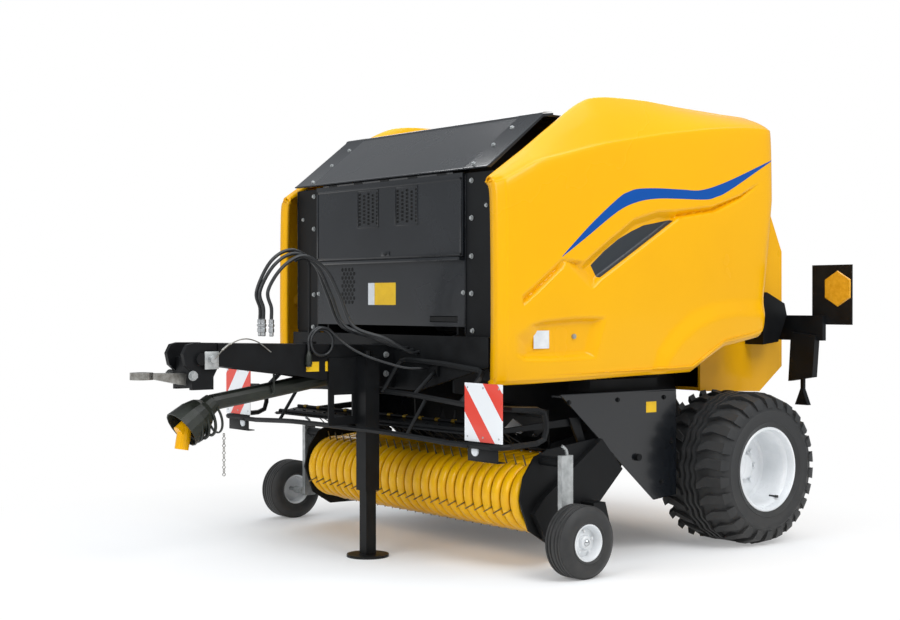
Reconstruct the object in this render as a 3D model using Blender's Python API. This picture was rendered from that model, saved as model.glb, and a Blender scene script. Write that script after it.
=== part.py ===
"""Round baler with a fixed bale chamber, parked on its drawbar jack.

Metres, +Z up, +X towards the machine's left side and -Y forwards, towards the tow eye.
Stations along Y are measured from the gauge-wheel axle.  When a piece is placed, it is moved so
that the middle of the whole footprint lies at the origin.
"""

import math

import bmesh
import bpy
from mathutils import Matrix, Vector

# ---------------------------------------------------------------- overall sizes
TOW_EYE_TIP_Y = -1.780
TAILGATE_REAR_Y = 2.234
SKIRT_LIP = 0.002
FOOTPRINT_MID_Y = (TOW_EYE_TIP_Y + TAILGATE_REAR_Y + SKIRT_LIP) / 2
FIT = 0.0003            # gap between pieces that are fastened face to face
RUN = 0.0006            # gap at a bearing or pin face
LEFT, RIGHT = 1, -1

# ---------------------------------------------------------------- bale chamber
CHAMBER_Y, CHAMBER_Z, CHAMBER_RADIUS = 1.380, 1.470, 0.625
WALL_IN, WALL_THICK = 0.610, 0.015
WALL_OUT = WALL_IN + WALL_THICK
WALL_TOP_Z = 2.345
ROLLER_RADIUS = 0.105
ROLLER_RING = CHAMBER_RADIUS + ROLLER_RADIUS + 0.010
FRONT_ROLLER_ANGLES = [120, 138.5, 157, 175.5, 194, 212.5, 249, 267.5]
CARRIER_THICK = 0.015

# ---------------------------------------------------------------- tailgate
HINGE_Y, HINGE_Z, HINGE_LUG_RADIUS = 1.050, 2.330, 0.040
SPLIT_LOW_Y, SPLIT_LOW_Z = 1.475, 0.860
SPLIT_GAP = 0.010
SKIRT_OUT, SKIRT_THICK = 0.800, 0.018
SHELL_THICK = 0.020
BAR_RADIUS = 0.020

# ---------------------------------------------------------------- rear wheels and axle
AXLE_Y = 1.518
REAR_TYRE_RADIUS, REAR_TYRE_IN, REAR_TYRE_OUT = 0.433, 0.830, 1.300
REAR_RIM_RADIUS = 0.236
AXLE_Z = REAR_TYRE_RADIUS
AXLE_BEAM = 0.100
STUB_END = 0.862
HUB_HOLE = 0.014

# ---------------------------------------------------------------- pick-up
REEL_Y, REEL_Z = 0.080, 0.360
BAND_RADIUS, BAND_THICK = 0.180, 0.005
TINE_TIP_RADIUS = 0.235
BAND_COUNT, BAND_PITCH, SLOT_WIDTH = 26, 0.0765, 0.026
BAND_TOP_REAR_Y, BAND_TOP_RISE = 0.370, 0.192
BAND_LOW_REAR_Y, BAND_LOW_DROP = 0.248, 0.215
END_PLATE_IN, END_PLATE_THICK = 1.010, 0.012
REEL_HALF = END_PLATE_IN - RUN
PICKUP_PIVOT_Y, PICKUP_PIVOT_Z, PICKUP_PIVOT_RADIUS = 0.700, 0.620, 0.030

# ---------------------------------------------------------------- gauge wheels
GAUGE_X, GAUGE_TYRE_WIDTH, GAUGE_TYRE_RADIUS, GAUGE_RIM_RADIUS = 1.347, 0.155, 0.184, 0.092
GAUGE_Z = GAUGE_TYRE_RADIUS
GAUGE_HUB_INSET = 0.020
ARM_X, ARM_THICK, ARM_WIDTH, ARM_Y = 1.200, 0.030, 0.078, 0.041
ARM_TOP_Z = 0.600

# ---------------------------------------------------------------- feed rotor
ROTOR_Y, ROTOR_Z, ROTOR_TIP_RADIUS, ROTOR_SHAFT_RADIUS = 0.600, 0.520, 0.200, 0.080
FLOOR_RADIUS = ROTOR_TIP_RADIUS + 0.035

# ---------------------------------------------------------------- hood and front panels
FRONT_Y = -0.210
PANEL_HALF = 0.700
POST_OUT = 0.930
HOOD_HALF = 0.915
HOOD_BREAK_Y, HOOD_BREAK_Z = 0.145, 2.360
ROOF_HALF, ROOF_REAR_Y, ROOF_Z = 0.855, 1.060, 2.385
DOOR_HINGE_Y, DOOR_HINGE_Z, DOOR_LOW_Z, DOOR_ROD_RADIUS = -0.224, 2.064, 1.622, 0.008
SHEET = 0.012

# ---------------------------------------------------------------- side shields
SHIELD_THICK = 0.018
SHIELD_HINGE_X, SHIELD_HINGE_Z, SHIELD_PIN_RADIUS = 0.866, 2.425, 0.011
SHIELD_PIN_LENGTH = 0.100

# ---------------------------------------------------------------- drawbar, jack and drive
BAR_HALF, BAR_WALL = 0.110, 0.008
BAR_FRONT_Y, BAR_REAR_Y = -1.350, -0.246
FRONT_PLATE_Y, FRONT_PLATE_THICK = -0.245, 0.020
JACK_Y, JACK_TUBE, JACK_WALL, JACK_LEG = -0.460, 0.090, 0.006, 0.064
JACK_LOW_Z, JACK_TOP_Z, JACK_FOOT_RADIUS = 0.360, 1.085, 0.115
JACK_PLATE_THICK = 0.012
JACK_X = BAR_HALF + FIT + JACK_PLATE_THICK - 0.003 + JACK_TUBE / 2
DRIVE_TUBE_RADIUS = 0.0425
GEARBOX_HALF, GEARBOX_LENGTH, GEARBOX_LOW_Z, GEARBOX_TOP_Z = 0.150, 0.300, 0.915, 1.170

# ---------------------------------------------------------------- guard frame and boards
GUARD_RADIUS = 0.015
BOARD_SIDE, BOARD_THICK, BOARD_IN, BOARD_Y, BOARD_LOW_Z = 0.287, 0.005, 1.037, -0.482, 0.695

# ---------------------------------------------------------------- tailgate cylinders
CYLINDER_X, CYLINDER_RADIUS, ROD_RADIUS = 0.704, 0.040, 0.020
CYLINDER_FOOT = (0.900, 1.800)
CYLINDER_HEAD = (1.450, 2.100)
BARREL_LENGTH, EYE_RADIUS, EYE_WIDTH = 0.540, 0.034, 0.056
PIN_RADIUS = 0.016

WIND_PIVOT = (0.300, 0.740)
WIND_ARM_IN, WIND_ARM_THICK = 0.940, 0.024
WIND_BRACKET_IN = WIND_ARM_IN + WIND_ARM_THICK + RUN
HOSE_RADIUS, CABLE_RADIUS = 0.0095, 0.0070

# name: (red, green, blue, roughness, metallic)
FINISHES = {
    "yellow": (0.88, 0.52, 0.01, 0.35, 0.0),
    "black": (0.02, 0.02, 0.022, 0.45, 0.0),
    "dark_steel": (0.05, 0.05, 0.055, 0.5, 0.6),
    "light_grey": (0.55, 0.56, 0.55, 0.45, 0.1),
    "white_paint": (0.82, 0.83, 0.83, 0.35, 0.0),
    "tyre": (0.03, 0.03, 0.03, 0.85, 0.0),
    "steel": (0.45, 0.45, 0.44, 0.35, 0.9),
    "chrome": (0.75, 0.75, 0.76, 0.12, 1.0),
    "rubber": (0.02, 0.02, 0.02, 0.7, 0.0),
    "guard_plastic": (0.025, 0.03, 0.025, 0.6, 0.0),
    "board": (0.75, 0.75, 0.75, 0.4, 0.0),
}


# ================================================================ shape helpers
def loft(rings, closed=False):
    """Skin rings of equally many points, and cap the ends unless the rings close on themselves."""
    bm = bmesh.new()
    rows = [[bm.verts.new(point) for point in ring] for ring in rings]
    pairs = list(zip(rows, rows[1:]))
    if closed:
        pairs.append((rows[-1], rows[0]))
    for low, high in pairs:
        for i in range(len(low)):
            j = (i + 1) % len(low)
            bm.faces.new((low[i], low[j], high[j], high[i]))
    if not closed:
        bm.faces.new(rows[0])
        bm.faces.new(rows[-1])
    bmesh.ops.recalc_face_normals(bm, faces=bm.faces)
    return bm


def prism(outline, axis, start, end):
    """A flat outline carried along X (outline in Y, Z), Y (in X, Z) or Z (in X, Y)."""
    place = {
        "X": lambda u, v, w: (w, u, v),
        "Y": lambda u, v, w: (u, w, v),
        "Z": lambda u, v, w: (u, v, w),
    }[axis]
    return loft([[place(u, v, w) for u, v in outline] for w in (start, end)])


def block(low, high):
    """A box between two corners."""
    (x0, y0, z0), (x1, y1, z1) = low, high
    return prism([(x0, y0), (x1, y0), (x1, y1), (x0, y1)], "Z", z0, z1)


def block_on(side, low, high):
    """A box given for the left side, built on either side of the middle plane."""
    (x0, y0, z0), (x1, y1, z1) = low, high
    return block((min(side * x0, side * x1), y0, z0), (max(side * x0, side * x1), y1, z1))


def ring_points(centre, direction, radius, sides):
    """A circle of points round a centre, square to a direction."""
    turn = Vector(direction).to_track_quat("Z", "Y")
    steps = [math.tau * i / sides for i in range(sides)]
    return [Vector(centre) + turn @ Vector((radius * math.cos(a), radius * math.sin(a), 0)) for a in steps]


def turned(profile, centre, direction, sides, closed=False):
    """A turned solid: profile rows are (radius, distance along the direction from the centre)."""
    unit = Vector(direction).normalized()
    return loft([ring_points(Vector(centre) + unit * along, unit, radius, sides) for radius, along in profile], closed)


def rod(start, end, radius, sides=12):
    """A round bar between two points."""
    span = Vector(end) - Vector(start)
    return turned([(radius, 0.0), (radius, span.length)], start, span, sides)


def rounded(points, radius, steps=2):
    """A path whose inner corners are replaced by short curves."""
    points = [Vector(p) for p in points]
    path = [points[0]]
    for before, corner, after in zip(points, points[1:], points[2:]):
        reach = min(radius, (before - corner).length * 0.45, (after - corner).length * 0.45)
        start = corner + (before - corner).normalized() * reach
        end = corner + (after - corner).normalized() * reach
        for i in range(steps + 1):
            t = i / steps
            path.append(start * (1 - t) ** 2 + corner * 2 * t * (1 - t) + end * t ** 2)
    path.append(points[-1])
    return path


def pipe(points, radius, sides=8, bend=0.05):
    """A round tube bent along a path, without twist."""
    path = rounded(points, bend) if bend else [Vector(p) for p in points]
    heading = (path[1] - path[0]).normalized()
    side = heading.orthogonal().normalized()
    rings = []
    for i, point in enumerate(path):
        ahead = (path[min(i + 1, len(path) - 1)] - path[max(i - 1, 0)]).normalized()
        side = heading.rotation_difference(ahead) @ side
        heading = ahead
        up = heading.cross(side)
        angles = [math.tau * k / sides for k in range(sides)]
        rings.append([point + (side * math.cos(a) + up * math.sin(a)) * radius for a in angles])
    return loft(rings)


def arc(centre_y, centre_z, radius, first_deg, last_deg, steps):
    """Points (Y, Z) along an arc, with angles from +Y towards +Z."""
    turns = [math.radians(first_deg + (last_deg - first_deg) * i / steps) for i in range(steps + 1)]
    return [(centre_y + radius * math.cos(a), centre_z + radius * math.sin(a)) for a in turns]


def arc_strip(centre_y, centre_z, inner, outer, first_deg, last_deg, steps):
    """The outline of a curved strip between two radii."""
    back = arc(centre_y, centre_z, inner, last_deg, first_deg, steps)
    return arc(centre_y, centre_z, outer, first_deg, last_deg, steps) + back


# ================================================================ placing pieces
def material(finish):
    """The Principled material of one finish."""
    if finish in bpy.data.materials:
        return bpy.data.materials[finish]
    red, green, blue, roughness, metallic = FINISHES[finish]
    made = bpy.data.materials.new(finish)
    made.use_nodes = True
    shader = made.node_tree.nodes["Principled BSDF"]
    shader.inputs["Base Color"].default_value = (red, green, blue, 1)
    shader.inputs["Roughness"].default_value = roughness
    shader.inputs["Metallic"].default_value = metallic
    return made


def placed(name, bm, pivot, side):
    """An object from a left-side shape, mirrored for the right, with its origin at its pivot."""
    pivot = Vector(pivot)
    bmesh.ops.translate(bm, vec=-pivot, verts=bm.verts)
    if side == RIGHT:
        bmesh.ops.scale(bm, vec=(-1, 1, 1), verts=bm.verts)
        bmesh.ops.reverse_faces(bm, faces=bm.faces)
        pivot.x = -pivot.x
    mesh = bpy.data.meshes.new(name)
    bm.to_mesh(mesh)
    bm.free()
    obj = bpy.data.objects.new(name, mesh)
    obj.location = pivot - Vector((0, FOOTPRINT_MID_Y, 0))
    bpy.context.scene.collection.objects.link(obj)
    return obj


def piece(name, finish, solids, cuts=(), pivot=(0, 0, 0), side=LEFT, smooth=True):
    """One node: its first solid, with the others fused on and the cuts taken out."""
    obj = placed(name, solids[0], pivot, side)
    obj.data.materials.append(material(finish))
    if smooth:
        obj.data.shade_smooth()
        obj.data.set_sharp_from_angle(angle=math.radians(35))
    tools = [(bm, "UNION") for bm in solids[1:]] + [(bm, "DIFFERENCE") for bm in cuts]
    for i, (bm, operation) in enumerate(tools):
        helper = placed(f"{name}.tool{i}", bm, pivot, side)
        helper.hide_render = True
        helper.display_type = "WIRE"
        boolean = obj.modifiers.new(operation.lower(), "BOOLEAN")
        boolean.operation = operation
        boolean.solver = "EXACT"
        boolean.object = helper
    return obj


def side_name(stem, side):
    """The node name of a piece that comes in a left and a right copy."""
    return f"{stem}_{'left' if side == LEFT else 'right'}"


# ================================================================ chassis
def split_point(z, offset):
    """The point of the tailgate split at a height, moved square to the split by an offset."""
    along = Vector((SPLIT_LOW_Y - HINGE_Y, SPLIT_LOW_Z - HINGE_Z)).normalized()
    square = Vector((-along.y, along.x))
    y = HINGE_Y + (SPLIT_LOW_Y - HINGE_Y) * (z - HINGE_Z) / (SPLIT_LOW_Z - HINGE_Z)
    return y + square.x * offset, z + square.y * offset


def chamber_wall(side):
    """Fixed side wall, from the front frame back to the tailgate split and down to the axle."""
    foot_z = AXLE_Z + AXLE_BEAM / 2 + FIT
    outline = [
        (FRONT_PLATE_Y + FRONT_PLATE_THICK + FIT, 0.900),
        (FRONT_PLATE_Y + FRONT_PLATE_THICK + FIT, 1.205),
        (FRONT_Y + SHEET + FIT, 1.205),
        (FRONT_Y + SHEET + FIT, 2.020),
        (0.170, WALL_TOP_Z),
        (HINGE_Y, WALL_TOP_Z),
        split_point(HINGE_Z - 0.010, -SPLIT_GAP / 2),
        split_point(SPLIT_LOW_Z, -SPLIT_GAP / 2),
        (SPLIT_LOW_Y, 0.800),
        (AXLE_Y + 0.090, 0.640),
        (AXLE_Y + AXLE_BEAM / 2, foot_z),
        (AXLE_Y - AXLE_BEAM / 2, foot_z),
        (1.250, 0.620),
        (0.900, 0.340),
        (0.560, 0.270),
        (0.460, 0.400),
        (0.445, 0.780),
    ]
    wall = prism(outline, "X", WALL_IN, WALL_OUT)
    lug = rod((WALL_IN, HINGE_Y, HINGE_Z), (WALL_OUT, HINGE_Y, HINGE_Z), HINGE_LUG_RADIUS, 20)
    pivot = rod(
        (WALL_IN + 0.005, PICKUP_PIVOT_Y, PICKUP_PIVOT_Z),
        (WALL_OUT + 0.035, PICKUP_PIVOT_Y, PICKUP_PIVOT_Z),
        PICKUP_PIVOT_RADIUS,
        12,
    )
    foot_y, foot_height = CYLINDER_FOOT
    boss_end = CYLINDER_X - EYE_WIDTH / 2 - RUN
    cylinder_boss = rod((WALL_IN + 0.005, foot_y, foot_height), (boss_end, foot_y, foot_height), 0.030, 12)
    piece(side_name("chamber_wall", side), "black", [wall, lug, pivot, cylinder_boss], side=side)


def corner_post(side):
    """The solids of one front corner: its panel, its two flanges and stays to the chamber wall."""
    top, low = 2.056, 0.975
    outline = [(PANEL_HALF, 1.200), (PANEL_HALF, top), (POST_OUT, top), (POST_OUT, low), (0.800, low)]
    face = prism([(side * x, z) for x, z in outline], "Y", FRONT_Y, FRONT_Y + SHEET)
    inner = block_on(side, (PANEL_HALF, FRONT_Y + 0.004, 1.210), (PANEL_HALF + SHEET, FRONT_Y + 0.130, top - 0.006))
    outer = block_on(side, (POST_OUT - SHEET, FRONT_Y + 0.004, 1.010), (POST_OUT, FRONT_Y + 0.080, top - 0.006))
    solids = [face, inner, outer]
    for z in (1.300, 1.700, 1.980):
        low_corner = (WALL_OUT + FIT, FRONT_Y + 0.060, z)
        solids.append(block_on(side, low_corner, (PANEL_HALF + 0.006, FRONT_Y + 0.110, z + 0.040)))
    solids.append(block_on(side, (0.830, FRONT_PLATE_Y + 0.010, 1.020), (0.900, FRONT_Y + 0.006, 1.150)))
    return solids


def front_frame():
    """The cross plate with its drive opening, and the two corner posts that stand on it."""
    rear = FRONT_PLATE_Y + FRONT_PLATE_THICK
    plate = block((-POST_OUT, FRONT_PLATE_Y, 0.900), (POST_OUT, rear, 1.200))
    cuts = [block((-0.090, FRONT_PLATE_Y - 0.010, 0.930), (0.090, rear + 0.010, 1.100))]
    for side in (LEFT, RIGHT):
        corner = [(0.300 * side, 0.890), (0.980 * side, 0.890), (0.980 * side, 1.060)]
        cuts.append(prism(corner, "Y", FRONT_PLATE_Y - 0.010, rear + 0.010))
    solids = [plate] + corner_post(LEFT) + corner_post(RIGHT)
    piece("front_frame", "black", solids, cuts, smooth=False)


def roller_bank():
    """The chamber's front and bottom rollers, held at both ends by a curved carrier."""
    half = WALL_IN - FIT
    first, last = FRONT_ROLLER_ANGLES[0] - 3, FRONT_ROLLER_ANGLES[-1] + 3
    solids = []
    for side in (RIGHT, LEFT):
        strip = arc_strip(CHAMBER_Y, CHAMBER_Z, ROLLER_RING - 0.040, ROLLER_RING + 0.040, first, last, 12)
        solids.append(prism(strip, "X", side * half, side * (half - CARRIER_THICK)))
    for angle in FRONT_ROLLER_ANGLES:
        turn = math.radians(angle)
        y = CHAMBER_Y + ROLLER_RING * math.cos(turn)
        z = CHAMBER_Z + ROLLER_RING * math.sin(turn)
        end = half - CARRIER_THICK / 2
        solids.append(rod((-end, y, z), (end, y, z), ROLLER_RADIUS, 12))
    piece("front_rollers", "steel", solids)


def feeder():
    """The feed rotor and the curved floor that it sweeps."""
    half = WALL_IN - RUN
    solids = [rod((-half, ROTOR_Y, ROTOR_Z), (half, ROTOR_Y, ROTOR_Z), ROTOR_SHAFT_RADIUS, 12)]
    stars, star_thick = 7, 0.016
    for i in range(stars):
        x = -0.540 + 1.080 * i / (stars - 1)
        star = []
        for k in range(8):
            radius = ROTOR_TIP_RADIUS if k % 2 == 0 else ROTOR_SHAFT_RADIUS * 0.9
            turn = math.radians(45 * k + 11 * i)
            star.append((ROTOR_Y + radius * math.cos(turn), ROTOR_Z + radius * math.sin(turn)))
        solids.append(prism(star, "X", x - star_thick / 2, x + star_thick / 2))
    piece("feed_rotor", "yellow", solids, pivot=(0, ROTOR_Y, ROTOR_Z))
    strip = arc_strip(ROTOR_Y, ROTOR_Z, FLOOR_RADIUS, FLOOR_RADIUS + SHEET, 195, 345, 12)
    piece("feed_floor", "dark_steel", [prism(strip, "X", -WALL_IN + FIT, WALL_IN - FIT)])


def axle():
    """The square axle beam with its round stubs."""
    half = AXLE_BEAM / 2
    beam_end = REAR_TYRE_IN - 0.045
    beam = block((-beam_end, AXLE_Y - half, AXLE_Z - half), (beam_end, AXLE_Y + half, AXLE_Z + half))
    stub_end = STUB_END - RUN
    stub = rod((-stub_end, AXLE_Y, AXLE_Z), (stub_end, AXLE_Y, AXLE_Z), 0.042, 20)
    piece("axle", "black", [beam, stub])


def wheel(stem, side, sizes, pivot, steps):
    """A tyre and its dished rim.  Sizes: radius, rim radius, inner and outer face, hub face and dish."""
    radius, rim, inner, outer, hub_face, dish = sizes
    wall = (radius - rim) * 0.30
    bead = 0.012
    tread = [
        (rim, inner + bead),
        (rim + wall, inner),
        (radius - wall * 0.75, inner + 0.004),
        (radius, inner + (outer - inner) * 0.18),
        (radius, outer - (outer - inner) * 0.18),
        (radius - wall * 0.75, outer - 0.004),
        (rim + wall, outer),
        (rim, outer - bead),
    ]
    centre = Vector((0, pivot[1], pivot[2]))
    tyre = turned(tread, centre, (1, 0, 0), steps, closed=True)
    piece(side_name(f"{stem}_tyre", side), "tyre", [tyre], pivot=pivot, side=side)
    flange = rim - FIT
    barrel = flange - 0.016
    disc = 0.014
    hub = barrel * 0.34
    rows = [
        (flange, inner + bead),
        (flange, outer - bead),
        (barrel, outer - bead),
        (barrel, dish + disc),
        (barrel * 0.52, dish + disc + 0.018),
        (hub, dish + disc),
        (hub, dish + disc + 0.030),
        (HUB_HOLE, dish + disc + 0.030),
        (HUB_HOLE, hub_face),
        (hub, hub_face),
        (hub, dish),
        (barrel, dish),
        (barrel, inner + bead),
    ]
    wheel_rim = turned(rows, centre, (1, 0, 0), steps, closed=True)
    piece(side_name(f"{stem}_rim", side), "white_paint", [wheel_rim], pivot=pivot, side=side)


def hood():
    """The sloping hood and the roof behind it, with brackets for the side shields' pins."""
    lip_z = DOOR_HINGE_Z + DOOR_ROD_RADIUS + RUN
    front = [
        (FRONT_Y - 0.032, lip_z),
        (FRONT_Y - 0.006, lip_z),
        (HOOD_BREAK_Y, HOOD_BREAK_Z),
        (HOOD_BREAK_Y + 0.070, ROOF_Z - SHEET),
        (HOOD_BREAK_Y + 0.070, ROOF_Z),
        (HOOD_BREAK_Y - 0.004, HOOD_BREAK_Z + 0.016),
        (FRONT_Y - 0.022, lip_z + SHEET),
        (FRONT_Y - 0.032, lip_z + 0.006),
    ]
    solids = [prism(front, "X", -HOOD_HALF, HOOD_HALF)]
    roof = block((-ROOF_HALF, HOOD_BREAK_Y + 0.030, ROOF_Z - SHEET), (ROOF_HALF, ROOF_REAR_Y, ROOF_Z))
    solids.append(roof)
    for side in (LEFT, RIGHT):
        seat = WALL_TOP_Z + FIT
        stay = [(0.300, seat), (0.300, ROOF_Z - 0.006), (0.900, ROOF_Z - 0.006), (0.900, seat)]
        solids.append(prism(stay, "X", side * (WALL_IN + 0.001), side * (WALL_OUT - 0.001)))
        for y in shield_bracket_stations():
            low_x = SHIELD_HINGE_X - 0.030
            solids.append(prism(
                [(side * low_x, ROOF_Z - 0.005), (side * (low_x + 0.020), ROOF_Z - 0.005),
                 (side * (SHIELD_HINGE_X + 0.004), SHIELD_HINGE_Z - 0.014),
                 (side * (SHIELD_HINGE_X + 0.004), SHIELD_HINGE_Z + 0.003),
                 (side * (SHIELD_HINGE_X - 0.014), SHIELD_HINGE_Z + 0.003)],
                "Y", y, y + 0.030))
    notches = [block_on(side, (WALL_OUT - 0.003, HINGE_Y - 0.060, ROOF_Z - 0.030),
                        (WALL_OUT + 0.040, ROOF_REAR_Y + 0.010, ROOF_Z + 0.010)) for side in (LEFT, RIGHT)]
    piece("hood", "black", solids, notches, smooth=False)


def shield_bracket_stations():
    """Where the roof's two shield brackets start along Y."""
    return (0.560, 0.990)


def front_door():
    """The upper front door, hung from a hinge rod under the hood's edge."""
    door = block((-PANEL_HALF + 0.003, DOOR_HINGE_Y - 0.004, DOOR_LOW_Z),
                 (PANEL_HALF - 0.003, DOOR_HINGE_Y + 0.009, DOOR_HINGE_Z - 0.004))
    hinge = rod((-0.620, DOOR_HINGE_Y, DOOR_HINGE_Z), (0.620, DOOR_HINGE_Y, DOOR_HINGE_Z), DOOR_ROD_RADIUS, 12)
    piece("front_door", "black", [door, hinge], pivot=(0, DOOR_HINGE_Y, DOOR_HINGE_Z), smooth=False)


def lower_front_panel():
    """The fixed panel under the door: its ledge, its face and the grip slot in its lower strip."""
    half = PANEL_HALF - RUN
    face = block((-half, FRONT_Y - 0.006, 1.250), (half, FRONT_Y + SHEET, 1.604))
    ledge = block((-half, FRONT_Y - 0.045, 1.600), (half, FRONT_Y + SHEET, 1.616))
    slot = block((0.400, FRONT_Y - 0.020, 1.272), (0.640, FRONT_Y + 0.030, 1.306))
    piece("lower_front_panel", "black", [face, ledge], [slot], smooth=False)


# ---------------------------------------------------------------- side shields
# station y, lower edge z, crease z, ridge z, outer x, ridge x, lip x, lip z
SHIELD_STATIONS = [
    (-0.268, 0.962, 1.985, 2.010, 0.972, 0.962, 0.950, 1.990),
    (-0.276, 0.960, 1.995, 2.022, 1.030, 0.970, 0.948, 1.996),
    (-0.238, 0.960, 2.012, 2.048, 1.072, 0.970, 0.946, 2.010),
    (-0.060, 0.963, 2.105, 2.165, 1.094, 0.968, 0.944, 2.120),
    (0.150, 0.968, 2.165, 2.310, 1.105, 0.962, 0.940, 2.270),
    (0.390, 0.975, 2.227, 2.448, 1.112, 0.915, 0.888, 2.398),
    (0.570, 0.980, 2.262, 2.496, 1.115, 0.900, 0.872, 2.398),
    (0.880, 0.988, 2.315, 2.506, 1.115, 0.900, 0.872, 2.398),
    (1.050, 0.993, 2.338, 2.500, 1.115, 0.900, 0.872, 2.398),
    (1.200, 1.070, 2.360, 2.493, 1.115, 0.900, 0.872, 2.398),
    (1.330, 1.130, 2.378, 2.488, 1.112, 0.900, 0.872, 2.398),
    (1.500, 1.155, 2.396, 2.482, 1.105, 0.900, 0.872, 2.398),
    (1.650, 1.180, 2.402, 2.478, 1.095, 0.900, 0.872, 2.398),
    (1.700, 1.218, 2.400, 2.470, 1.078, 0.900, 0.872, 2.398),
]
SHIELD_LEAN_FROM, SHIELD_LEAN = 1.200, 0.100


def shield_row(y, low, crease, ridge, outer, ridge_x, lip_x, lip_z):
    """One cross-section of a shield, from its lower edge over the crown to its inner lip."""
    points = [
        (outer - 0.018, low),
        (outer, low + 0.060),
        (outer + 0.004, low + (crease - low) * 0.35),
        (outer, low + (crease - low) * 0.70),
        (outer - 0.010, crease - 0.030),
        (outer - 0.030, crease),
        ((outer + ridge_x) / 2 - 0.010, crease + (ridge - crease) * 0.55),
        (ridge_x + 0.012, ridge - 0.006),
        (ridge_x - 0.010, ridge),
        (lip_x, (ridge + lip_z) / 2),
        (lip_x, lip_z),
    ]
    lean = max(0.0, (y - SHIELD_LEAN_FROM) / (SHIELD_STATIONS[-1][0] - SHIELD_LEAN_FROM)) * SHIELD_LEAN
    return [(x, y + lean * min(1.0, max(0.0, (z - 1.218) / 0.760)), z) for x, z in points]


def side_shield(side):
    """The yellow side shield: a lofted skin of even thickness, hung from two pins at its lip."""
    bm = bmesh.new()
    rows = [[bm.verts.new(point) for point in shield_row(*station)] for station in SHIELD_STATIONS]
    for near, far in zip(rows, rows[1:]):
        for i in range(len(near) - 1):
            bm.faces.new((near[i], far[i], far[i + 1], near[i + 1]))
    pivot = (SHIELD_HINGE_X, 0.0, SHIELD_HINGE_Z)
    name = side_name("side_shield", side)
    obj = placed(name, bm, pivot, side)
    obj.data.materials.append(material("yellow"))
    obj.data.shade_smooth()
    skin = obj.modifiers.new("skin", "SOLIDIFY")
    skin.thickness = SHIELD_THICK
    skin.offset = -1
    for i, y in enumerate(shield_bracket_stations()):
        start = (SHIELD_HINGE_X, y - RUN - SHIELD_PIN_LENGTH, SHIELD_HINGE_Z)
        pin = rod(start, (SHIELD_HINGE_X, y - RUN, SHIELD_HINGE_Z), SHIELD_PIN_RADIUS, 10)
        helper = placed(f"{name}.pin{i}", pin, pivot, side)
        helper.hide_render = True
        helper.display_type = "WIRE"
        boolean = obj.modifiers.new("pin", "BOOLEAN")
        boolean.operation = "UNION"
        boolean.solver = "EXACT"
        boolean.object = helper


def cutter_cover(side):
    """The black lower side cover, with its inward top flange and stays to the chamber wall."""
    x, thick = 1.000, 0.010
    outline = [(0.180, 0.893), (1.060, 0.887), (1.060, 0.300), (0.884, 0.284)]
    plate = prism(outline, "X", x, x + thick)
    flange = block((0.930, 0.190, 0.876), (x + 0.004, 1.050, 0.886))
    solids = [plate, flange]
    for y, z in ((0.960, 0.790), (0.990, 0.460)):
        solids.append(rod((WALL_OUT + FIT, y, z), (x + 0.004, y, z), 0.016, 10))
    piece(side_name("cutter_cover", side), "black", solids, side=side, smooth=False)


def oil_box():
    """The chain-oil box on the left, on two brackets from the chamber wall."""
    box = block((0.760, 0.470, 0.895), (0.930, 0.990, 0.956))
    solids = [box]
    for y in (0.560, 0.880):
        solids.append(block((WALL_OUT + FIT, y, 0.915), (0.765, y + 0.040, 0.935)))
    piece("chain_oil_box", "dark_steel", solids, smooth=False)


# ================================================================ drawbar, jack and drive line
def drawbar():
    """The tapered channel, open below, that runs from the head to the front frame."""
    outline = [(BAR_FRONT_Y, 1.053), (BAR_FRONT_Y, 1.170), (BAR_REAR_Y, 1.142), (BAR_REAR_Y, 0.905),
               (-0.680, 0.957), (-0.865, 0.989)]
    shell = prism(outline, "X", -BAR_HALF, BAR_HALF)
    hollow = [(BAR_FRONT_Y + 0.100, 0.800), (BAR_FRONT_Y + 0.100, 1.167 - BAR_WALL), (0.0, 1.132 - BAR_WALL),
              (0.0, 0.800)]
    inner = BAR_HALF - BAR_WALL
    piece("drawbar", "black", [shell], [prism(hollow, "X", -inner, inner)], smooth=False)


def drawbar_head():
    """The bolted head: two cheeks, a block between them and the lower eye socket."""
    rear = BAR_FRONT_Y - FIT
    cheek = [(-1.544, 1.120), (-1.520, 1.165), (-1.480, 1.174), (rear, 1.172), (rear, 1.040),
             (-1.372, 1.000), (-1.372, 0.936), (-1.494, 0.936), (-1.494, 1.030), (-1.530, 1.060)]
    middle = [(-1.494, 1.100), (rear - 0.004, 1.150), (rear - 0.004, 1.050), (-1.380, 0.945), (-1.494, 0.945)]
    solids = [prism(middle, "X", -0.080, 0.080)]
    for side in (LEFT, RIGHT):
        solids.append(prism(cheek, "X", side * 0.072, side * 0.102))
        solids.append(rod((side * 0.098, -1.447, 1.092), (side * 0.122, -1.447, 1.092), 0.032, 12))
    piece("drawbar_head", "black", solids, smooth=False)


def tow_eye():
    """The forged tow eye on its tapered neck."""
    eye_y = TOW_EYE_TIP_Y + 0.058
    ring = turned([(0.058, 0.0), (0.058, 0.036), (0.026, 0.036), (0.026, 0.0)], (0, eye_y, 0.992), (0, 0, 1), 24,
                  closed=True)
    neck = loft([
        [(-0.022, eye_y + 0.044, 0.996), (0.022, eye_y + 0.044, 0.996),
         (0.022, eye_y + 0.044, 1.024), (-0.022, eye_y + 0.044, 1.024)],
        [(-0.040, -1.494 - FIT, 0.958), (0.040, -1.494 - FIT, 0.958),
         (0.040, -1.494 - FIT, 1.019), (-0.040, -1.494 - FIT, 1.019)],
    ])
    piece("tow_eye", "dark_steel", [ring, neck])


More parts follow.
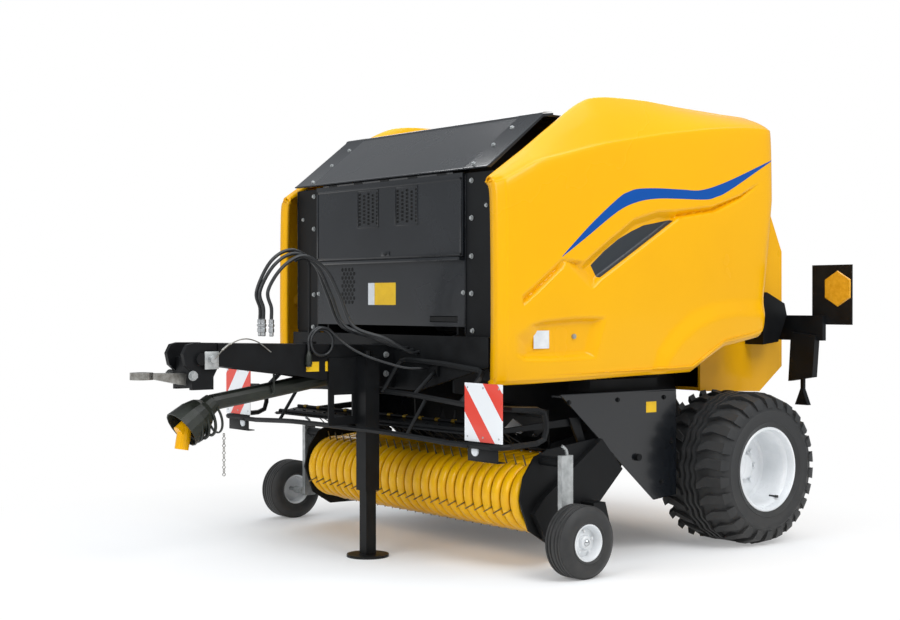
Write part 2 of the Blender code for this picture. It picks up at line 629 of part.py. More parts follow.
def jack():
    """The parking jack: its bolted bracket with a window, its sleeve and its sliding leg."""
    inner = BAR_HALF + FIT
    plate = prism([(-0.684, 0.7156), (-0.684, 1.080), (-0.418, 1.080), (-0.418, 0.930), (-0.430, 0.7190)],
                  "X", inner, inner + JACK_PLATE_THICK)
    window = block((inner - 0.010, -0.650, 0.762), (inner + 0.030, -0.530, 0.880))
    half = JACK_TUBE / 2
    hollow = half - JACK_WALL
    tube = block((JACK_X - half, JACK_Y - half, JACK_LOW_Z), (JACK_X + half, JACK_Y + half, JACK_TOP_Z))
    bore = block((JACK_X - hollow, JACK_Y - hollow, JACK_LOW_Z - 0.010),
                 (JACK_X + hollow, JACK_Y + hollow, JACK_TOP_Z - JACK_WALL))
    crank = rod((JACK_X, JACK_Y, JACK_TOP_Z - 0.002), (JACK_X, JACK_Y, JACK_TOP_Z + 0.030), 0.020, 12)
    piece("jack_sleeve", "black", [tube, crank, plate], [bore, window], smooth=False)
    half = JACK_LEG / 2
    leg_top = JACK_LOW_Z + 0.300
    leg = block((JACK_X - half, JACK_Y - half, 0.008), (JACK_X + half, JACK_Y + half, leg_top))
    foot = rod((JACK_X, JACK_Y, 0.0), (JACK_X, JACK_Y, 0.014), JACK_FOOT_RADIUS, 24)
    hollow = JACK_TUBE / 2 - JACK_WALL - RUN
    shoe = block((JACK_X - hollow, JACK_Y - hollow, leg_top - 0.060),
                 (JACK_X + hollow, JACK_Y + hollow, leg_top - 0.010))
    piece("jack_leg", "black", [leg, foot, shoe], pivot=(JACK_X, JACK_Y, 0.0), smooth=False)


def drive_line():
    """The guarded drive shaft on its hook, its cone and yoke, and the gearbox that it drives."""
    front = FRONT_PLATE_Y + FRONT_PLATE_THICK + FIT
    gearbox = block((-GEARBOX_HALF, front, GEARBOX_LOW_Z), (GEARBOX_HALF, front + GEARBOX_LENGTH, GEARBOX_TOP_Z))
    nose = rod((0, front - 0.035, 1.014), (0, front + 0.010, 1.014), 0.060, 20)
    piece("gearbox", "dark_steel", [gearbox, nose], smooth=False)
    nose_y = front - 0.035 - RUN
    path = [(0, -1.330, 0.862), (0, -1.000, 0.910), (0, nose_y - 0.120, 1.006), (0, nose_y - 0.050, 1.014),
            (0, nose_y, 1.014)]
    shaft = pipe(path, DRIVE_TUBE_RADIUS, 12, bend=0.10)
    hook_end = BAR_HALF - BAR_WALL - RUN * 1.4
    hook = pipe([(0, -0.990, 0.900), (0.060, -0.990, 0.900), (0.060, -0.990, 1.055), (hook_end, -0.990, 1.060)], 0.006, 6,
                bend=0.02)
    tilt = Vector((0, -0.200, -0.150))
    start = Vector((0, -1.320, 0.866))
    cone = turned([(0.050, 0.004), (0.055, 0.050), (0.080, 0.080), (0.096, 0.130), (0.106, 0.225), (0.100, 0.225),
                   (0.090, 0.135), (0.072, 0.090), (0.034, 0.080), (0.034, 0.004)],
                  start, tilt, 16, closed=True)
    piece("drive_guard", "guard_plastic", [shaft, hook, cone])
    unit = tilt.normalized()
    stem = rod(start + unit * 0.050, start + unit * 0.245, 0.034 - RUN, 16)
    yoke = rod(start + unit * 0.200, start + unit * 0.200 + Vector((0, -0.020, -0.115)), 0.036, 16)
    piece("drive_yoke", "yellow", [stem, yoke])


# ================================================================ guard frame, boards and hoses
def guard_frame():
    """The bent-tube guard in front of the pick-up, on struts from the front frame."""
    centre = pipe([(-0.95, -0.505, 0.674), (-0.45, -0.555, 0.700), (0.45, -0.555, 0.700), (0.95, -0.505, 0.674)],
                  GUARD_RADIUS, 6, bend=0.12)
    mid = pipe([(-1.05, -0.440, 0.862), (-0.40, -0.390, 0.895), (0.40, -0.390, 0.895), (1.05, -0.440, 0.862)],
               GUARD_RADIUS, 6, bend=0.12)
    solids = [centre, mid]
    for s in (LEFT, RIGHT):
        hoop = [(0.93 * s, -0.507, 0.675), (1.32 * s, -0.500, 0.675), (1.32 * s, -0.200, 0.690),
                (1.32 * s, -0.200, 0.850), (1.32 * s, -0.420, 0.860), (1.02 * s, -0.438, 0.864)]
        upper = [(0.22 * s, -0.400, 0.890), (0.24 * s, -0.290, 1.070), (0.60 * s, -0.275, 1.055),
                 (0.925 * s, -0.262, 1.025), (0.935 * s, -0.430, 0.868)]
        solids.append(pipe(hoop, GUARD_RADIUS, 6, bend=0.06))
        solids.append(pipe(upper, GUARD_RADIUS, 6, bend=0.05))
        pad_y = FRONT_PLATE_Y - FIT
        solids.append(rod((0.50 * s, -0.395, 0.892), (0.50 * s, pad_y - 0.011, 1.010), 0.012, 8))
        solids.append(block_on(s, (0.475, pad_y - 0.016, 0.985), (0.525, pad_y, 1.040)))
        solids.append(rod((0.62 * s, -0.538, 0.690), (0.62 * s, -0.406, 0.882), 0.010, 8))
        board_back = BOARD_Y + FIT
        low = BOARD_LOW_Z + 0.030
        solids.append(block_on(s, (1.060, board_back, low - 0.060), (1.100, board_back + 0.008, 0.870)))
        solids.append(block_on(s, (1.060, -0.520, low - 0.062), (1.100, board_back + 0.006, low - 0.046)))
        solids.append(block_on(s, (1.060, board_back + 0.002, 0.852), (1.100, -0.434, 0.866)))
    piece("guard_frame", "black", solids)


def marker_board(side):
    """The square warning board on the guard frame."""
    board = block((BOARD_IN, BOARD_Y - BOARD_THICK, BOARD_LOW_Z),
                  (BOARD_IN + BOARD_SIDE, BOARD_Y, BOARD_LOW_Z + BOARD_SIDE))
    piece(side_name("marker_board", side), "board", [board], side=side, smooth=False)


def smooth_route(points, spacing):
    """A Catmull-Rom curve through the route's points, read at an even spacing."""
    knots = [Vector(p) for p in points]
    knots = [knots[0] * 2 - knots[1]] + knots + [knots[-1] * 2 - knots[-2]]
    dense = []
    for a, b, c, d in zip(knots, knots[1:], knots[2:], knots[3:]):
        for i in range(24):
            t = i / 24
            dense.append(0.5 * (2 * b + (c - a) * t + (2 * a - 5 * b + 4 * c - d) * t ** 2
                                + (3 * b - a - 3 * c + d) * t ** 3))
    dense.append(knots[-2])
    lengths = [0.0]
    for near, far in zip(dense, dense[1:]):
        lengths.append(lengths[-1] + (far - near).length)
    count = max(2, round(lengths[-1] / spacing))
    even, k = [], 0
    for i in range(count + 1):
        target = lengths[-1] * i / count
        while k < len(dense) - 2 and lengths[k + 1] < target:
            k += 1
        share = (target - lengths[k]) / (lengths[k + 1] - lengths[k])
        even.append(dense[k].lerp(dense[k + 1], min(1.0, share)))
    return even


def cord(name, points, radius, spacing):
    """A free hose or cable as a round curve with filled ends."""
    curve = bpy.data.curves.new(name, "CURVE")
    curve.dimensions = "3D"
    curve.bevel_depth = radius
    curve.bevel_resolution = 2
    curve.use_fill_caps = True
    route = smooth_route(points, spacing)
    spline = curve.splines.new("POLY")
    spline.points.add(len(route) - 1)
    for knot, point in zip(spline.points, route):
        knot.co = (*point, 1)
    obj = bpy.data.objects.new(name, curve)
    obj.data.materials.append(material("rubber"))
    obj.location = (0, -FOOTPRINT_MID_Y, 0)
    bpy.context.scene.collection.objects.link(obj)


COUPLING_Y, COUPLING_LOW_Z, COUPLING_TOP_Z = -1.020, 1.200, 1.290
HOSE_END_Y = FRONT_PLATE_Y - RUN * 1.2
# name: x where the hose hangs, height of its arch, x and z where it enters the front frame
HOSES = {
    "hose_1": (-0.030, 1.660, 0.240, 1.130),
    "hose_2": (0.005, 1.640, 0.290, 1.120),
    "hose_3": (0.085, 1.625, 0.340, 1.110),
}


def hose_points(x, top, end_x, end_z):
    """A hose's route: up from its coupling, over the holder, down and back to the front frame."""
    return [
        (x, COUPLING_Y, COUPLING_TOP_Z + RUN),
        (x, COUPLING_Y, COUPLING_TOP_Z + 0.060),
        (x, COUPLING_Y - 0.020, 1.440),
        (x, -0.950, top - 0.060),
        (x, -0.820, top),
        (x, -0.680, top - 0.070),
        (x + 0.010, -0.600, 1.420),
        (x + 0.060, -0.540, 1.250),
        (end_x - 0.040, -0.440, 1.185),
        (end_x, HOSE_END_Y - 0.060, end_z),
        (end_x, HOSE_END_Y, end_z),
    ]


COIL_Y, COIL_Z, COIL_RADIUS, COIL_SECTION = -0.730, 1.165, 0.075, 0.016
COIL_X = BAR_HALF + FIT + COIL_SECTION * math.sin(math.radians(60))
CABLE_POINTS = [
    (COIL_X, COIL_Y + COIL_RADIUS + COIL_SECTION + 2 * RUN, COIL_Z),
    (COIL_X, COIL_Y + COIL_RADIUS + COIL_SECTION + 0.030, COIL_Z),
    (COIL_X + 0.070, -0.560, 1.130),
    (0.270, -0.490, 1.075),
    (0.370, -0.370, 1.030),
    (0.420, HOSE_END_Y - 0.050, 1.025),
    (0.420, HOSE_END_Y, 1.025),
]


def hoses():
    """The hose holder, the parked couplings, three hoses and the cable with its coil."""
    base_z = 1.1585
    holder = pipe([(0.045, -0.757, base_z), (0.045, -0.757, 1.600), (0.045, -0.800, 1.618), (0.045, -0.850, 1.600)],
                  0.008, 8, bend=0.03)
    foot = block((0.020, -0.785, base_z - 0.002), (0.070, -0.730, base_z + 0.010))
    piece("hose_holder", "black", [foot, holder])
    rack_z = 1.163
    solids = [block((-0.060, COUPLING_Y - 0.020, rack_z), (0.105, COUPLING_Y + 0.020, rack_z + 0.045))]
    for x, _, _, _ in HOSES.values():
        solids.append(rod((x, COUPLING_Y, rack_z + 0.040), (x, COUPLING_Y, COUPLING_TOP_Z), 0.014, 12))
    piece("hose_couplings", "chrome", solids)
    for name, route in HOSES.items():
        cord(name, hose_points(*route), HOSE_RADIUS, 0.054)
    cord("cable", CABLE_POINTS, CABLE_RADIUS, 0.036)
    section = []
    for i in range(6):
        turn = math.tau * i / 6
        section.append((COIL_RADIUS + COIL_SECTION * math.cos(turn), COIL_SECTION * math.sin(turn)))
    coil = turned(section, (COIL_X, COIL_Y, COIL_Z), (1, 0, 0), 20, closed=True)
    piece("cable_coil", "rubber", [coil])


# ================================================================ pick-up
def slot_centres():
    """The X positions of the slots between the stripper bands."""
    return [(i - (BAND_COUNT - 2) / 2) * BAND_PITCH for i in range(BAND_COUNT - 1)]


def stripper_bands():
    """The row of curved bands: one curved sheet, slotted where the tines pass."""
    half = BAND_COUNT * BAND_PITCH / 2
    edges = [-half]
    for x in slot_centres():
        edges += [x - SLOT_WIDTH / 2, x + SLOT_WIDTH / 2]
    edges.append(half)
    top_z, low_z = REEL_Z + BAND_TOP_RISE, REEL_Z - BAND_LOW_DROP
    curve = [(BAND_TOP_REAR_Y, top_z), (BAND_TOP_REAR_Y - 0.035, top_z), (REEL_Y + 0.090, top_z - 0.006)]
    curve += arc(REEL_Y, REEL_Z, BAND_RADIUS, 80, 268, 5)
    curve += [(BAND_LOW_REAR_Y - 0.035, low_z), (BAND_LOW_REAR_Y, low_z)]
    bm = bmesh.new()
    columns = [[bm.verts.new((x, y, z)) for y, z in curve] for x in edges]
    last = len(curve) - 2
    for k, (near, far) in enumerate(zip(columns, columns[1:])):
        for i in range(len(curve) - 1):
            is_slot = k % 2 == 1 and 0 < i < last
            if not is_slot:
                bm.faces.new((near[i], far[i], far[i + 1], near[i + 1]))
    loose = [v for v in bm.verts if not v.link_faces]
    bmesh.ops.delete(bm, geom=loose, context="VERTS")
    obj = placed("stripper_bands", bm, (0, 0, 0), LEFT)
    obj.data.materials.append(material("yellow"))
    skin = obj.modifiers.new("skin", "SOLIDIFY")
    skin.thickness = BAND_THICK
    skin.offset = -1


def pickup_reel():
    """The turning reel: shaft, spider discs and four bars of tines that pass through the slots."""
    bar_radius = BAND_RADIUS - 0.060
    solids = [rod((-REEL_HALF, REEL_Y, REEL_Z), (REEL_HALF, REEL_Y, REEL_Z), 0.040, 12)]
    for x in (-0.940, 0.0, 0.940):
        solids.append(rod((x - 0.006, REEL_Y, REEL_Z), (x + 0.006, REEL_Y, REEL_Z), bar_radius + 0.006, 16))
    for k in range(4):
        solids.append(tine_bar(bar_radius, 90 * k + 20))
    piece("pickup_reel", "steel", solids, pivot=(0, REEL_Y, REEL_Z))


def tine_bar(bar_radius, angle):
    """One bar with its row of tines: a flat comb whose pointed tines stand in the slots."""
    tine, half_bar = 0.008, 0.012
    outline = [(0.950, bar_radius - half_bar), (-0.950, bar_radius - half_bar), (-0.950, bar_radius + half_bar)]
    for x in slot_centres():
        outline += [(x - tine / 2, bar_radius + half_bar), (x, TINE_TIP_RADIUS), (x + tine / 2, bar_radius + half_bar)]
    outline.append((0.950, bar_radius + half_bar))
    bm = prism(outline, "Y", -0.004, 0.004)
    turn = Matrix.Rotation(math.radians(angle), 4, "X")
    bmesh.ops.transform(bm, matrix=Matrix.Translation((0, REEL_Y, REEL_Z)) @ turn, verts=bm.verts)
    return bm


def pickup_frame():
    """End plates, cross tube, hanger arms to the pivot and the gauge arms' sockets."""
    plate_out = END_PLATE_IN + END_PLATE_THICK
    inner_outline = [(-0.110, 0.360), (-0.085, 0.480), (-0.010, 0.580), (0.080, 0.612), (0.420, 0.650), (0.560, 0.560),
                     (0.520, 0.430), (0.330, 0.180), (0.270, 0.118), (0.080, 0.120), (-0.050, 0.200)]
    outer_outline = [(0.440, 0.652), (0.594, 0.480), (0.400, 0.296), (0.190, 0.170), (0.040, 0.150), (-0.040, 0.290),
                     (0.030, 0.370)]
    tube_y, tube_z = ROTOR_Y - ROTOR_TIP_RADIUS - 0.032, 0.515
    solids = [rod((-END_PLATE_IN - 0.004, tube_y, tube_z), (END_PLATE_IN + 0.004, tube_y, tube_z), 0.028, 12)]
    arm = [(tube_y - 0.015, 0.500), (tube_y + 0.004, 0.5415), (0.420, 0.600), (0.690, 0.652), (0.732, 0.620),
           (0.700, 0.588), (0.450, 0.515)]
    arm_in = WALL_OUT + 0.035 + RUN
    for s in (LEFT, RIGHT):
        solids.append(prism(inner_outline, "X", s * END_PLATE_IN, s * plate_out))
        solids.append(prism(outer_outline, "X", s * (plate_out - 0.003), s * (plate_out + 0.034)))
        solids.append(prism(arm, "X", s * arm_in, s * (arm_in + 0.022)))
        tube_end = ARM_X - ARM_THICK / 2 - FIT
        solids.append(rod((s * (plate_out - 0.004), ARM_Y, 0.560), (s * tube_end, ARM_Y, 0.560), 0.026, 12))
        bracket = [(0.285, 0.235), (0.285, 0.330), (0.370, 0.330), (0.400, 0.230), (0.350, 0.215)]
        solids.append(prism(bracket, "X", s * (plate_out + 0.020), s * (plate_out + 0.130)))
        pivot_y, pivot_z = WIND_PIVOT
        upright = [(pivot_y - 0.030, pivot_z + 0.025), (pivot_y + 0.040, pivot_z + 0.025),
                   (0.415, 0.560), (0.400, 0.510), (0.376, 0.510), (0.376, 0.560)]
        solids.append(prism(upright, "X", s * WIND_BRACKET_IN, s * (WIND_BRACKET_IN + 0.016)))
        seats = ((BAND_TOP_REAR_Y, REEL_Z + BAND_TOP_RISE), (BAND_LOW_REAR_Y, REEL_Z - BAND_LOW_DROP))
        for y, z in seats:
            low = (END_PLATE_IN - 0.080, y + FIT, z - 0.010)
            solids.append(block_on(s, low, (END_PLATE_IN + 0.004, y + 0.030, z + 0.008)))
    piece("pickup_frame", "black", solids, pivot=(0, PICKUP_PIVOT_Y, PICKUP_PIVOT_Z), smooth=False)


def gauge_arm(side):
    """The light-grey gauge arm: a flat leg, its axle and its grip."""
    half = ARM_WIDTH / 2
    low_z = GAUGE_Z - 0.030
    leg = block((ARM_X - ARM_THICK / 2, ARM_Y - half, low_z), (ARM_X + ARM_THICK / 2, ARM_Y + half, ARM_TOP_Z))
    stub_end = GAUGE_X + 0.020
    stub = rod((ARM_X, 0.0, GAUGE_Z), (stub_end, 0.0, GAUGE_Z), HUB_HOLE - 0.002, 12)
    hub_face = GAUGE_X - GAUGE_TYRE_WIDTH / 2 + GAUGE_HUB_INSET
    collar = rod((ARM_X, 0.0, GAUGE_Z), (hub_face - RUN, 0.0, GAUGE_Z), 0.022, 12)
    grip = pipe([(ARM_X, ARM_Y + 0.012, ARM_TOP_Z - 0.004), (ARM_X, ARM_Y + 0.006, ARM_TOP_Z + 0.030),
                 (ARM_X, ARM_Y - 0.024, ARM_TOP_Z + 0.048)], 0.008, 8, bend=0.02)
    piece(side_name("gauge_arm", side), "light_grey", [leg, collar, stub, grip], side=side)


def wind_guard():
    """The wind guard over the pick-up: its side arms and front plate."""
    pivot_y, pivot_z = WIND_PIVOT
    half = WIND_ARM_IN + 0.020
    plate = [(-0.360, 0.705), (-0.180, 0.735), (-0.180, 0.741), (-0.360, 0.711)]
    solids = [prism(plate, "X", -half, half)]
    for s in (LEFT, RIGHT):
        bar = [(-0.350, 0.700), (-0.350, 0.716), (pivot_y - 0.010, pivot_z + 0.020), (pivot_y + 0.022, pivot_z),
               (pivot_y - 0.010, pivot_z - 0.020)]
        solids.append(prism(bar, "X", s * WIND_ARM_IN, s * (WIND_ARM_IN + WIND_ARM_THICK)))
    piece("wind_guard", "black", solids, pivot=(0, pivot_y, pivot_z))


# ================================================================ tailgate
def tailgate_outline():
    """The tailgate's outer side outline (Y, Z), from its lower front corner round to its top."""
    return [
        (SPLIT_LOW_Y + 0.015, 0.856),
        (2.025, 0.836),
        (TAILGATE_REAR_Y, 0.984),
        (TAILGATE_REAR_Y - 0.002, 1.692),
        (2.080, 2.008),
        (1.860, 2.240),
        (1.600, 2.352),
        (1.140, 2.368),
    ]


def shrunk(outline, amount):
    """An open outline moved inwards, to its left-hand side, by an even amount."""
    points = [Vector(p) for p in outline]
    moved = []
    for i, point in enumerate(points):
        before = (point - points[i - 1]).normalized() if i else (points[1] - point).normalized()
        after = (points[i + 1] - point).normalized() if i < len(points) - 1 else before
        square = (Vector((-before.y, before.x)) + Vector((-after.y, after.x))).normalized()
        share = max(0.5, square.dot(Vector((-before.y, before.x))))
        moved.append(tuple(point + square * (amount / share)))
    return moved


def tailgate_shell():
    """The yellow rear shell: its wrapped back and its two side skirts."""
    outer = tailgate_outline()
    wrap = prism(outer + shrunk(outer, SHELL_THICK)[::-1], "X", -SKIRT_OUT + 0.004, SKIRT_OUT - 0.004)
    solids = [wrap]
    skirt = shrunk(outer, -SKIRT_LIP) + [(1.140, 2.250), (SPLIT_LOW_Y + 0.015, 1.300)]
    for s in (LEFT, RIGHT):
        solids.append(prism(skirt, "X", s * (SKIRT_OUT - SKIRT_THICK), s * SKIRT_OUT))
    piece("tailgate_shell", "yellow", solids, pivot=(0, HINGE_Y, HINGE_Z), smooth=False)


def tailgate_frame():
    """The tailgate's chamber walls with hinge lugs and cylinder bosses, and the bars between them."""
    fitted = shrunk(tailgate_outline(), SHELL_THICK + FIT)
    top_split = split_point(2.200, SPLIT_GAP / 2)
    low_split = split_point(SPLIT_LOW_Z, SPLIT_GAP / 2)
    wall = fitted + [(1.160, 2.300), top_split, (low_split[0], fitted[0][1])]
    lug = arc(HINGE_Y, HINGE_Z, 0.040, 95, 275, 8) + [(1.260, 2.180), (1.260, 2.310)]
    web = [(1.180, 2.200), (1.250, 2.190), (1.250, 2.300), (1.180, 2.300)]
    head_y, head_z = CYLINDER_HEAD
    boss_end = CYLINDER_X - EYE_WIDTH / 2 - RUN
    ring = CHAMBER_RADIUS + BAR_RADIUS
    strip = arc_strip(CHAMBER_Y, CHAMBER_Z, ring - 0.010, ring + 0.012, -56, 72, 10)
    solids = []
    for s in (LEFT, RIGHT):
        solids.append(prism(wall, "X", s * WALL_IN, s * WALL_OUT))
        solids.append(prism(lug, "X", s * (WALL_OUT + 0.002), s * (WALL_OUT + 0.022)))
        solids.append(prism(web, "X", s * (WALL_OUT - 0.006), s * (WALL_OUT + 0.012)))
        solids.append(prism(strip, "X", s * (WALL_IN - 0.012), s * (WALL_IN + 0.003)))
        solids.append(rod((s * (WALL_IN + 0.005), head_y, head_z), (s * boss_end, head_y, head_z), 0.028, 14))
    for i in range(8):
        turn = math.radians(-54 + 122 * i / 7)
        y = CHAMBER_Y + ring * math.cos(turn)
        z = CHAMBER_Z + ring * math.sin(turn)
        solids.append(rod((-WALL_IN - 0.005, y, z), (WALL_IN + 0.005, y, z), BAR_RADIUS, 6))
    piece("tailgate_frame", "dark_steel", solids, pivot=(0, HINGE_Y, HINGE_Z), smooth=False)


def rear_marker(side):
    """The rear marker plate on its arm, with the lamp housing and the hanging flap."""
    plate = block((1.100, 2.150, 1.246), (1.386, 2.160, 1.602))
    arm_start = SKIRT_OUT + FIT
    arm = block((arm_start, 2.120, 1.150), (1.200, 2.152, 1.300))
    lamp = prism([(0.960, 0.900), (1.140, 0.930), (1.160, 1.180), (0.980, 1.200)], "Y", 2.100, 2.146)
    neck = block((1.040, 2.116, 0.840), (1.064, 2.134, 0.920))
    flap = prism([(1.046, 0.860), (1.058, 0.860), (1.100, 0.760), (1.004, 0.760)], "Y", 2.108, 2.140)
    piece(side_name("rear_marker", side), "black", [arm, plate, lamp, neck, flap], side=side,
          pivot=(0, HINGE_Y, HINGE_Z), smooth=False)


def wheel_chock(side):
    """The black wheel chock clipped on the tailgate's rear corner."""
    outline = [(1.890, 1.125), (2.030, 1.140), (2.112, 1.300), (2.090, 1.372), (1.925, 1.440), (1.890, 1.400)]
    inner = SKIRT_OUT + FIT
    body = prism(outline, "X", inner, inner + 0.140)
    piece(side_name("wheel_chock", side), "rubber", [body], side=side, pivot=(0, HINGE_Y, HINGE_Z), smooth=False)


def tailgate_cylinder(side):
    """One tailgate cylinder: the barrel on its foot pin and the rod that ends at the tailgate's pin."""
    foot = Vector((CYLINDER_X, *CYLINDER_FOOT))
    head = Vector((CYLINDER_X, *CYLINDER_HEAD))
    unit = (head - foot).normalized()
    half = EYE_WIDTH / 2
    eye = rod(foot - Vector((half, 0, 0)), foot + Vector((half, 0, 0)), EYE_RADIUS, 14)
    neck = rod(foot + unit * 0.010, foot + unit * 0.080, CYLINDER_RADIUS * 0.6, 12)
    barrel = rod(foot + unit * 0.060, foot + unit * BARREL_LENGTH, CYLINDER_RADIUS, 16)
    bore = rod(foot + unit * 0.090, foot + unit * (BARREL_LENGTH + 0.010), ROD_RADIUS + RUN, 16)
    piece(side_name("cylinder_barrel", side), "black", [barrel, neck, eye], [bore], pivot=foot, side=side)
    rod_start = foot + unit * 0.110
    shaft = rod(rod_start, head - unit * 0.010, ROD_RADIUS, 16)
    end_eye = rod(head - Vector((half, 0, 0)), head + Vector((half, 0, 0)), EYE_RADIUS, 14)
    piece(side_name("cylinder_rod", side), "chrome", [shaft, end_eye], pivot=head, side=side)


# ================================================================ the whole machine
def build():
    """Clear the scene and make every piece."""
    for obj in list(bpy.data.objects):
        bpy.data.objects.remove(obj, do_unlink=True)
    rear = (REAR_TYRE_RADIUS, REAR_RIM_RADIUS, REAR_TYRE_IN, REAR_TYRE_OUT, STUB_END, 1.060)
    gauge_in = GAUGE_X - GAUGE_TYRE_WIDTH / 2
    gauge = (GAUGE_TYRE_RADIUS, GAUGE_RIM_RADIUS, gauge_in, gauge_in + GAUGE_TYRE_WIDTH, gauge_in + GAUGE_HUB_INSET,
             GAUGE_X + 0.010)
    front_frame()
    roller_bank()
    feeder()
    axle()
    hood()
    front_door()
    lower_front_panel()
    oil_box()
    drawbar()
    drawbar_head()
    tow_eye()
    jack()
    drive_line()
    guard_frame()
    hoses()
    stripper_bands()
    pickup_reel()
    pickup_frame()
    wind_guard()
    tailgate_shell()
    tailgate_frame()
    for side in (LEFT, RIGHT):
        chamber_wall(side)
        wheel("rear", side, rear, (1.060, AXLE_Y, AXLE_Z), 28)
        wheel("gauge", side, gauge, (GAUGE_X, 0.0, GAUGE_Z), 20)
        side_shield(side)
        cutter_cover(side)
        marker_board(side)
        gauge_arm(side)
        rear_marker(side)
        wheel_chock(side)
        tailgate_cylinder(side)


build()
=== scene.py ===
import math

import bmesh
import bpy
from mathutils import Matrix, Vector


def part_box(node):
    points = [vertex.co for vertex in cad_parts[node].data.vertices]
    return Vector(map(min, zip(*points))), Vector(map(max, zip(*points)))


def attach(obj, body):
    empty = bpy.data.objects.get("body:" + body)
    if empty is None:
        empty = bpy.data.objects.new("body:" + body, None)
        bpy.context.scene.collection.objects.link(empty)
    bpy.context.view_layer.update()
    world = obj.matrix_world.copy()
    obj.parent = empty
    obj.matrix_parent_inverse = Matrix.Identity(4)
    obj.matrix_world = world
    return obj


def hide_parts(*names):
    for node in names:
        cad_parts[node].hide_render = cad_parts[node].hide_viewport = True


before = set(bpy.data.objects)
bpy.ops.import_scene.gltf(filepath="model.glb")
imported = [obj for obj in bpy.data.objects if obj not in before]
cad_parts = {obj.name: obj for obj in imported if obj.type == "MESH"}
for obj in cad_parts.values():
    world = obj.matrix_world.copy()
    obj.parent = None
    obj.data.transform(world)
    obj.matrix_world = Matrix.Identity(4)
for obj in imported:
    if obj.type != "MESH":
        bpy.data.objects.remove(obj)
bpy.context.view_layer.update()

# Looks for a trailed round baler. Metres, +Z up, the drawbar towards -Y, the machine's left side towards +X.
# Places along the machine are measured from the gauge wheels' axle line, as a fitter would.
GAUGE_LINE_Y = (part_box("gauge_tyre_left")[0].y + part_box("gauge_tyre_left")[1].y) / 2
MM = 0.001


def at(x, y, z):
    """The point in the row frame that lies y behind the gauge wheels' axle line."""
    return Vector((x, y + GAUGE_LINE_Y, z))


# ---------------------------------------------------------------- camera

SENSOR = 36.0
camera_data = bpy.data.cameras.new("camera")
camera_data.sensor_width = SENSOR
camera_data.lens = 59.14
camera = bpy.data.objects.new("camera", camera_data)
camera.location = (6.744, -5.308, 1.380)
camera.rotation_euler = (math.radians(90 - 0.305), 0, math.radians(51.74))
bpy.context.scene.collection.objects.link(camera)
bpy.context.scene.camera = camera


# ---------------------------------------------------------------- nodes and materials

def linear(hex_colour):
    """An sRGB hex colour as linear RGBA."""
    parts = [int(hex_colour[i:i + 2], 16) / 255 for i in (1, 3, 5)]
    return [c / 12.92 if c <= 0.04045 else ((c + 0.055) / 1.055) ** 2.4 for c in parts] + [1.0]


def add(tree, kind, settings=None, sockets=None):
    """Adds a node, gives it its settings, and sets or links its input sockets."""
    made = tree.nodes.new("ShaderNode" + kind)
    for name, value in (settings or {}).items():
        setattr(made, name, value)
    for name, value in (sockets or {}).items():
        if isinstance(value, bpy.types.NodeSocket):
            tree.links.new(value, made.inputs[name])
        else:
            made.inputs[name].default_value = value
    return made


def blank(name):
    """A new material with an empty tree and its output node."""
    made = bpy.data.materials.new(name)
    made.use_nodes = True
    made.node_tree.nodes.clear()
    return made, made.node_tree, add(made.node_tree, "OutputMaterial")


def between(tree, factor, low, high):
    """A colour from low to high, as the factor goes from 0 to 1. Either may be a socket."""
    mix = add(tree, "Mix", {"data_type": "RGBA"}, {0: factor, 6: low, 7: high})
    return mix.outputs[2]


def spread(tree, factor, low, high, start=0.35, end=0.65):
    """A number from low to high, as the factor goes from start to end."""
    made = add(tree, "MapRange", None, {"Value": factor, "From Min": start, "From Max": end,
                                        "To Min": low, "To Max": high})
    return made.outputs[0]


def finish(name, colour, shade, patch, roughness, grain, relief, metallic=0.0, ior=1.5, coat=0.0,
           coat_roughness=0.05, sheen=0.0, dust=None, dust_height=0.0, dust_amount=0.0):
    """A surface whose colour drifts to a shade over patches, with a fine grain, and road dust low down.

    patch and grain are real sizes in millimetres, relief is the grain's depth in millimetres,
    and roughness is the range that it drifts over."""
    made, tree, output = blank(name)
    where = add(tree, "TexCoord").outputs["Object"]
    patches = add(tree, "TexNoise", None, {"Vector": where, "Scale": 1000 / patch, "Detail": 4.0,
                                           "Roughness": 0.6}).outputs[0]
    fine = add(tree, "TexNoise", None, {"Vector": where, "Scale": 1000 / grain, "Detail": 3.0}).outputs[0]
    tone = between(tree, spread(tree, patches, 0, 1), linear(colour), linear(shade))
    if dust:
        height = add(tree, "SeparateXYZ", None, {"Vector": where}).outputs["Z"]
        low_down = spread(tree, height, dust_amount, 0, 0.0, dust_height)
        blotches = spread(tree, patches, 0.2, 1)
        amount = add(tree, "Math", {"operation": "MULTIPLY"}, {0: low_down, 1: blotches}).outputs[0]
        tone = between(tree, amount, tone, linear(dust))
    rough = spread(tree, patches, roughness[0], roughness[1])
    bump = add(tree, "Bump", None, {"Strength": 0.6, "Distance": relief * MM, "Height": fine})
    shader = add(tree, "BsdfPrincipled", None, {
        "Base Color": tone, "Roughness": rough, "Normal": bump.outputs[0], "Metallic": metallic,
        "IOR": ior, "Coat Weight": coat, "Coat Roughness": coat_roughness, "Sheen Weight": sheen})
    tree.links.new(shader.outputs[0], output.inputs["Surface"])
    return made


# Moulded shields in gloss yellow two-pack paint: even, deep and wet-looking, with a faint orange peel.
yellow_paint = finish("gloss_yellow_paint", "#F0B000", "#ECAB00", 900, (0.26, 0.32), 6, 0.05, ior=1.32, coat=0.10)
# Rolled steel bands under the same yellow paint, rubbed by the crop: slightly duller and streaked. Their base colour
# is set lighter than the shields' yellow: painted light, standing in for the light the low bands lack.
band_paint = finish("yellow_paint_on_rolled_steel_painted_lighter", "#FAC000", "#F4B600", 120, (0.26, 0.36), 4, 0.08, ior=1.36,
                    coat=0.15, dust="#C9962E", dust_height=0.6, dust_amount=0.06)
